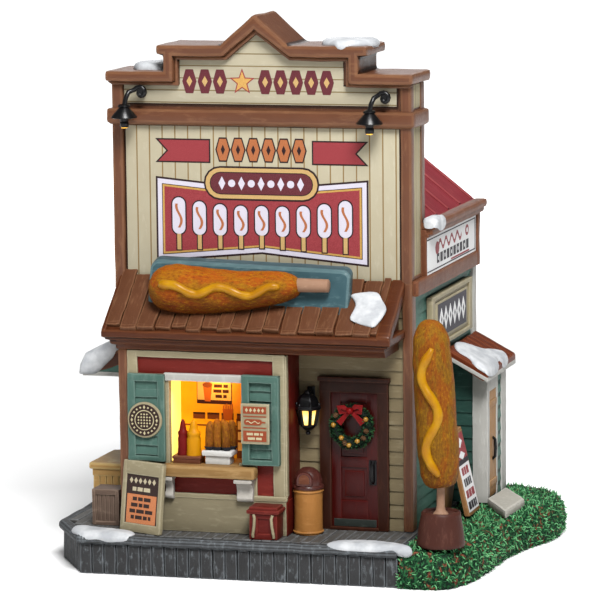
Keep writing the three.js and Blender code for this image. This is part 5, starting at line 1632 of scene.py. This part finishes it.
stall += [board((-76.7 + 2.35 * i, 6.9, DECK_TOP), (-74.6 + 2.35 * i, 7.7, 28.0), 0.3, 3) for i in range(6)]
stall += [board((-76.9, 7.0 + 2.4 * i, DECK_TOP), (-76.1, 9.1 + 2.4 * i, 28.0), 0.3, 3) for i in range(10)]
stall.append(board((-77.1, 6.7, 25.9), (-62.6, 31.2, 28.5), 0.35, 3))
stall.append(board((-78.2, 6.0, 28.3), (-62.3, 32.0, 30.6), 0.8, 3))
cast_in("side_counter_slats", stall, [counter_tan], ["side_counter"], 0.16, 5)

# The side awning. A short boarded roof over the counter at the left, its boards split and brushed
# as on the porch, with a dark fascia.
awning_slope = atan2(8, 17.1)
awning_cap = [(-62.2, 66.5), (-62.2, 71.5), (-79.2, 63.6), (-79.2, 61.4), (-70.0, 63.6)]
cast_in("awning_core", [
    prism([(-62.2, 61.0), (-62.2, 71.3), (-79.0, 63.4), (-79.0, 61.6)], facing_front(0), -32.6, -5.4, 0.3, 4, 0),
    prism(awning_cap, facing_front(0), -33.0, -5.0, 0.4, 3, 1),
    board((-79.4, 5.0, 61.0), (-62.3, 6.0, 62.5), 0.35, 3, 2),
    board((-79.4, 5.0, 61.0), (-78.4, 33.0, 62.6), 0.35, 3, 2),
], [teal_paint, moulding_brown_shaded, white_paint], ["side_awning"], 0.15, 6)
awning_boards = [((-70.7, 7.0 + 4.0 * i, 67.75), (0, -awning_slope, 0), (1, 1, 1)) for i in range(7)]
awning_board = board((-9.2, -1.95, -0.4), (9.3, 1.95, 0.45), 0.35, 2.4)
awning_top_boards = laid(awning_board, awning_boards, roof_boards, 1.0, 0.02, 9)
cast_in("awning_boards", awning_top_boards, [roof_boards], [], 0.2, 3)

# The side signs. A long white board in a brown frame over the side wall, and a slate one in a cream
# frame below it; both carry plain lines, waves and bars.
sign_frame = several(
    board((38.4, 13.0, 92.3), (40.3, 85.6, 113.0), 0.3, 5),
    board((38.4, -0.6, 92.3), (41.0, 85.8, 97.6), 0.9, 3),
    board((38.4, 82.4, 92.5), (41.2, 85.6, 112.0), 0.5, 3),
    board((38.4, 13.0, 110.4), (41.1, 85.6, 112.0), 0.4, 3),
    board((38.4, 13.4, 111.2), (42.4, 87.0, 115.4), 0.9, 3),
    board((38.4, 13.0, 112.9), (43.4, 87.6, 115.7), 1.1, 3),
)
side_brown = painted("side_sign_brown", "#7a4a33", "#a0694a", "#301509", (1, 0.22, 1), 0.36, 0.45, 0.14)
cast_in("side_sign_frame", sign_frame, [side_brown], ["side_sign"], 0.2, 8)


def facing_right(x):
    """Prints on a wall that faces right, at a given X."""
    return lambda u, v, w: (x + w, u, v)


sign_inks = [print_ink("sign_white", "#ffffff", 0.04), ARTS[RED], print_ink("sign_ink", "#241c26")]
side_rows = [
    (rect(13.6, 97.7, 82.2, 110.3), 1, 0),
    (rect(13.6, 98.4, 81.0, 98.8), 2, 2),
    (rect(13.6, 109.2, 81.0, 109.6), 2, 2),
    (rect(80.4, 98.4, 81.2, 109.6), 2, 2),
    (wave_line(29, 61, 106.2, 1.5, 4, 1.3), 2, 1),
    (disc(27, 105.4, 2.6, 16, 0.85), 2, 1),
    (disc(69, 106.6, 2.4, 16, 0.8), 2, 1),
    (disc(69, 106.6, 1.1, 12, 0.8), 3, 0),
    (rect(46, 99.0, 72, 99.6), 2, 1),
]
for i in range(10):
    u = 26.5 + 4.6 * i
    side_rows.append((rect(u, 100.2, u + 3.2, 103.4), 2, 2))
    if i % 2 == 0:
        side_rows.append((rect(u + 1.1, 101.2, u + 2.1, 102.4), 3, 0))
cast_in("side_sign_print", printed(side_rows, facing_right(40.35), 0.06), sign_inks, [])
slate_paint = print_ink("slate_plate", "#38333f", 0.16)
PLATE_BACK, PLATE_LOW, PLATE_HIGH, PLATE_NEAR, PLATE_FAR = 38.1, 70.7, 89.1, 21.0, 78.0
cast_in("window_sign_frame", [
    board((PLATE_BACK, PLATE_NEAR, 70.9), (39.4, PLATE_FAR, PLATE_HIGH), 0.3, 5),
    board((PLATE_BACK, PLATE_NEAR, PLATE_LOW), (40.2, PLATE_FAR, 72.2), 0.35, 3),
    board((PLATE_BACK, PLATE_NEAR, 87.6), (40.2, PLATE_FAR, PLATE_HIGH), 0.35, 3),
    board((PLATE_BACK, PLATE_NEAR, PLATE_LOW), (40.2, 25.0, PLATE_HIGH), 0.35, 3),
    board((PLATE_BACK, 74.0, PLATE_LOW), (40.2, PLATE_FAR, PLATE_HIGH), 0.35, 3),
    board((PLATE_BACK, 27.5, 73.4), (39.9, 71.5, 86.4), 0.35, 3),
], [bay_cream], ["window_sign"], 0.12, 6)
slate_rows = [(rect(29.5, 74.2, 69.5, 85.6), 1, 0)]
for i in range(6):
    u = 34 + 6.2 * i
    slate_rows += [(lozenge(u, 79.9, 5.6, 8.0), 2, 1), (lozenge(u, 79.9, 1.6, 2.6), 3, 0)]
slate_print = printed(slate_rows, facing_right(39.95), 0.06)
cast_in("window_sign_print", slate_print, [slate_paint, sign_inks[0]], [])

# The main roof. A red sheet roof with standing seams behind the false front, on a boarded attic;
# painted red and dry-brushed pink along every seam, partly a painted highlight.
roof_red = painted("roof_red", "#9d3741", "#c46d6a", "#411514", (0.22, 1, 0.22), 0.4, 0.45, 0.14)
RIDGE_X, RIDGE_Z = -13.0, 156.0
roof_tilt = radians(38.3)
fall = tan(roof_tilt)
left_low, right_low = (RIDGE_Z - reach * fall for reach in (52, 51))
roof_line = [
    (RIDGE_X, RIDGE_Z - 0.7), (-65, left_low - 0.7), (-65, left_low - 4.3), (RIDGE_X, RIDGE_Z - 4.3),
    (38, right_low - 4.3), (38, right_low - 0.7)]
cast_in("roof_sheet", [
    prism(roof_line, facing_front(0), -90, -16.1, 0.3, 6),
    board((RIDGE_X - 1.5, 16.1, RIDGE_Z - 2.0), (RIDGE_X + 1.5, 90, RIDGE_Z + 0.3), 0.6, 5),
], [roof_red], ["main_roof"], 0.15, 8)
seam_spots = []
for side, run in ((1, 51.0), (-1, 52.0)):
    length = run / cos(roof_tilt)
    for i in range(5):
        y = 20.4 + 16.6 * i
        spot = (RIDGE_X + side * run / 2, y, RIDGE_Z - 0.75 - run / 2 * fall)
        seam_spots.append((spot, (0, side * roof_tilt, 0), ((length - 1.2) / 60, 1, 1)))
seam = board((-30, -0.95, -0.3), (30, 0.95, 0.8), 0.45, 4)
cast_in("roof_seams", laid(seam, seam_spots, roof_red, 0.2, 0.0, 2), [roof_red], [], 0.1, 6)
attic_line = [(-61.6, 111.8), (-61.6, 115.2), (RIDGE_X, 151.6), (35.6, 113.9), (35.6, 111.8)]
attic = prism(attic_line, facing_front(0), -87.4, -16.2, 0.1)
z = 111.9
while z < 149:
    top = z + COURSE - 0.1
    low, high = (min(48.8, max(0.5, (151.6 - height) / fall)) for height in (z, top))
    lap = [(RIDGE_X - low, z), (RIDGE_X + low, z), (RIDGE_X + high, top), (RIDGE_X - high, top)]
    course = prism(lap, facing_front(0), -88.2, -87.0, 0.25, 5)
    several(attic, turned_about(course, (RIDGE_X, 87.6, z + 2.2), x=4))
    z += COURSE
cast_in("attic_gable", attic, [teal_paint], ["attic"], 0.06)

# The shed at the right. A lean-to with teal boards in front, darkened as painted shade, white corner
# posts and a tan plank door at its side, under a sloping red-brown roof edged in white.
# the wall teal, darkened for the shed's front as painted shade
shed_front_shaded = painted("shed_teal_painted_shade", "#2f5148", "#5d8276", "#101f1b", (0.3, 0.3, 1), 0.3, 0.5, 0.12)
shed_line = [(38.3, DECK_TOP), (50.9, DECK_TOP), (50.9, 57.4), (38.3, 64.2)]
cast_in("shed_walls", [
    prism(shed_line, facing_front(0), -80.8, -54.3, 0.1),
    siding([(38.5, 53.7), (46.4, 53.7)], DECK_TOP, 60.9, 1.2),
], [shed_front_shaded], ["shed"], 0.06)
cast_in("shed_strip", [
    siding([(51.25, 67.6), (51.25, 74.8)], DECK_TOP, 57.2, 1.0),
    siding([(51.2, 81.1), (38.5, 81.1)], DECK_TOP, 57.2, 1.0),
], [teal_paint], [], 0.06)
cast_in("shed_posts", [
    board((46.0, 53.2, DECK_TOP), (51.4, 55.0, 58.4), 0.35, 3),
    board((50.3, 53.2, DECK_TOP), (51.5, 56.2, 57.3), 0.3, 3),
    board((50.3, 66.6, DECK_TOP), (51.5, 68.4, 54.8), 0.3, 3),
    board((50.3, 55.0, 52.0), (51.55, 68.4, 57.2), 0.3, 3),
    board((50.3, 74.4, DECK_TOP), (51.5, 81.3, 57.2), 0.35, 3),
], [white_paint], [], 0.14, 5)
door_tan = painted("shed_door_tan", "#b98a58", "#dcb483", "#523516", (1, 1, 0.22), 0.4, 0.5, 0.12)
planks = [board((50.6, 56.0 + 2.12 * i, 14.6), (51.3, 58.05 + 2.12 * i, 52.2), 0.25, 4) for i in range(5)]
planks += [board((51.0, 56.1, z), (51.6, 66.5, z + 2.4), 0.25, 3) for z in (18.0, 46.0)]
cast_in("shed_door_planks", planks, [door_tan], [], 0.1, 4)
pull_spots = [(x, 61.0, z) for x, z in ((51.2, 35.2), (52.2, 34.4), (52.4, 31.4), (52.2, 28.4), (51.2, 27.5))]
cast_in("shed_pull", tube(pull_spots, 0.55, 8), [iron_black], [])
lean_brown = painted("shed_roof_brown", "#733218", "#a45c38", "#280e06", (0.25, 1, 0.25), 0.3, 0.45, 0.14)
lean_tilt = atan2(8, 14.9)
lean_line = [(38.5, 65.1), (38.5, 67.7), (53.0, 59.9), (53.0, 57.4), (51.6, 57.4)]
lean_core = prism(lean_line, facing_front(0), -88.0, -45.2, 0.25, 5)
cast_in("shed_roof_core", lean_core, [lean_brown], ["shed_roof"], 0.12, 6)
lean_spots = [((45.95, 48.05 + 5.32 * i, 64.15), (0, lean_tilt, 0), (1, 1, 1)) for i in range(8)]
lean_board = board((-8.1, -2.4, -0.4), (8.1, 2.4, 0.5), 0.4, 2.6)
lean_boards = laid(lean_board, lean_spots, lean_brown, 0.7, 0.01, 3)
cast_in("shed_roof_boards", lean_boards, [lean_brown], [], 0.15, 4)
cast_in("shed_fascia", [
    prism([(38.5, 65.0), (38.5, 66.5), (53.3, 58.6), (53.3, 57.0)], facing_front(0), -45.9, -44.95, 0.2, 4),
    board((52.6, 45.0, 57.0), (53.35, 88.0, 58.6), 0.2, 4),
    prism([(38.5, 66.3), (38.5, 68.3), (53.4, 60.4), (53.4, 58.4)], facing_front(0), -46.2, -44.9, 0.4, 4, 1),
    board((52.2, 45.0, 58.4), (53.4, 88.0, 60.6), 0.5, 4, 1),
], [white_paint, lean_brown], [], 0.1, 5)
stone_paint = painted("step_stone", "#c6c2b6", "#e6e2d8", "#6e695e", (1, 1, 1), 0.35, 0.65, 0.2)
step_line = [(52, 50.2), (63, 29.8), (64.6, 53), (53.5, 72.5)]
slab = prism(step_line, facing_up, 12.6, 15.6, 1.0, 3)
cast_in("step_slab", slab, [stone_paint], ["door_step"], 0.2, 4)

# The folding board on the grass. Two tan-edged leaves hinged at the top; its outer leaf is painted
# red above and white below, with plain bars.
leaf_edge = painted("folding_board_tan", "#a9784a", "#d2a878", "#4c2f16", (1, 0.3, 1), 0.35, 0.5, 0.1)
leaves = several(
    prism([(51.0, 13.3), (44.3, 41.7), (42.7, 41.7), (49.2, 13.3)], facing_front(0), -43.6, -28.6, 0.3, 3),
    prism([(39.4, 13.3), (43.4, 40.6), (44.8, 40.9), (41.0, 13.3)], facing_front(0), -43.2, -29.0, 0.3, 3),
)
cast_in("folding_leaves", leaves, [leaf_edge], ["folding_board"], 0.1, 4)
leaf_tilt = atan2(6.7, 28.4)


def on_leaf(u, v, w):
    """From the outer leaf's face: u along it, v up it, w out from it."""
    sine, cosine = sin(leaf_tilt), cos(leaf_tilt)
    return (51.0 - v * sine + w * cosine, u, 13.3 + v * cosine + w * sine)


leaf_rows = [(rect(29.4, 1.2, 42.8, 17.5), 1, 0), (rect(29.4, 17.5, 42.8, 28.2), 1, 1)]
leaf_rows += [(lozenge(36.1, 24.8, 8.0, 4.0), 2, 0), (lozenge(36.1, 20.2, 8.0, 3.0), 2, 0)]
for i in range(4):
    leaf_rows += bars(30.1, 42.1, 16.3 - 3.9 * i, 1, 3.9, 2.6, 3 + i, 2, 1 + i % 2, 0.7)
leaf_rows += [(rect(29.4, 17.3, 42.8, 19.0), 2, 2)]
cast_in("folding_print", printed(leaf_rows, on_leaf, 0.07), sign_inks, [])

# The snow on the roofs. Smooth rounded drifts of white glaze laid over the cornice, the awning, the
# porch, the shed roof and the side cornice, each hanging a little over its edge.
def patch(x, y, length, width, seed):
    """An uneven oval."""
    pick = random.Random(seed)
    oval = disc(0, 0, 0.5, 12)
    return [(x + length * u * pick.uniform(0.84, 1.08), y + width * v * pick.uniform(0.84, 1.08)) for u, v in oval]


def on_cornice(top, front):
    """On a level moulding, and bending down over its front edge."""

    def lie(x, y, h):
        return (x, max(y, -4.3 - 0.3 * h), top + h - 0.9 * max(0.0, front - y))

    return lie


right_drift, left_drift = patch(16.0, 7.4, 19.0, 23, 5), patch(-53.0, 9.0, 13.5, 20, 6)
right_lie, left_lie = on_cornice(174.9, -3.6), on_cornice(166.0, -3.8)
snowed("snow_on_cornice_right", right_drift, 2.2, right_lie, ((10.5, 7), (20, 8)), ["snow_cornice_right"])
snowed("snow_on_cornice_left", left_drift, 2.6, left_lie, ((-53.6, 4), (-52.2, 14)), ["snow_cornice_left"])


def awning_top(x, y, h):
    past = 1.1 * max(0.0, -78.6 - x) + 0.9 * max(0.0, 5.6 - y)
    x, y = max(x, -79.8 - 0.3 * h), max(y, 4.6 - 0.3 * h)
    return (x, y, max(61.6, 72.2 - (-62.3 - x) * 8 / 17.1 + h - past))


awning_patch = [
    (-63.6, 9), (-66.6, 5.4), (-70, 3.6), (-74, 1.6), (-78.6, 1.0), (-81.6, 6), (-81.8, 15), (-80.8, 22), (-77, 27),
    (-70, 29.4), (-65.6, 28), (-63.2, 18)]
snowed("snow_on_awning", awning_patch, 4.2, awning_top, ((-73, 12), (-73, 23)), ["snow_awning"])


def shed_top(x, y, h):
    past = max(0.0, x - 52.9) + max(0.0, 45.4 - y)
    return (min(x, 53.6), max(y, 44.7), 68.3 - (x - 38.5) * 8 / 14.9 + h - 0.8 * past)


shed_patch = [
    (39.4, 54), (39.6, 59), (41.4, 62.4), (44.2, 64.4), (46.4, 67.4), (47.4, 72), (49.4, 77.2), (51.4, 79.2),
    (53.4, 76.4), (54.4, 71.4), (54.0, 67.4), (52.6, 66.6), (52.8, 63.6), (54.4, 59.4), (54.9, 53.0), (54.6, 48.4),
    (53.8, 45.0), (51.0, 44.6), (48.2, 45.2), (46.0, 47.6), (43.0, 48.0), (41.0, 49.6)]
snowed("snow_on_shed", shed_patch, 1.7, shed_top, ((43.5, 55), (50.8, 69)), ["snow_shed"])


def porch_top(x, y, h):
    return (x, y - 0.3 * h, 98.2 + (y + 1.5) * PORCH_FALL + 0.8 * h)


porch_patch = [
    (19.9, -7.8), (23.9, -6.8), (28.6, -6.7), (31.0, -9.3), (33.1, -12.2), (32.7, -15.1), (31.7, -17.4),
    (30.6, -18.8), (28.2, -18.6), (25.0, -17.8), (21.8, -16.2), (22.2, -13.4), (22.4, -11.4), (21.2, -9.4)]
snowed("snow_on_porch", porch_patch, 1.1, porch_top, ((25.0, -9.4), (29.4, -14.6)))


def side_cornice_top(x, y, h):
    past = 0.5 * max(0.0, 14.4 - y) + max(0.0, x - 43.0)
    return (min(x, 43.9), max(y, 12.6), 115.4 + h - past)


side_patch = [
    (38.6, 22), (38.6, 15.4), (39.6, 12.4), (41.2, 11.6), (43.2, 12.6), (45.4, 16.4), (45.8, 21), (44.6, 25),
    (41.8, 26.6), (39.4, 25)]
snowed("snow_on_side_cornice", side_patch, 1.6, side_cornice_top, ((41.4, 15), (41.6, 21)))
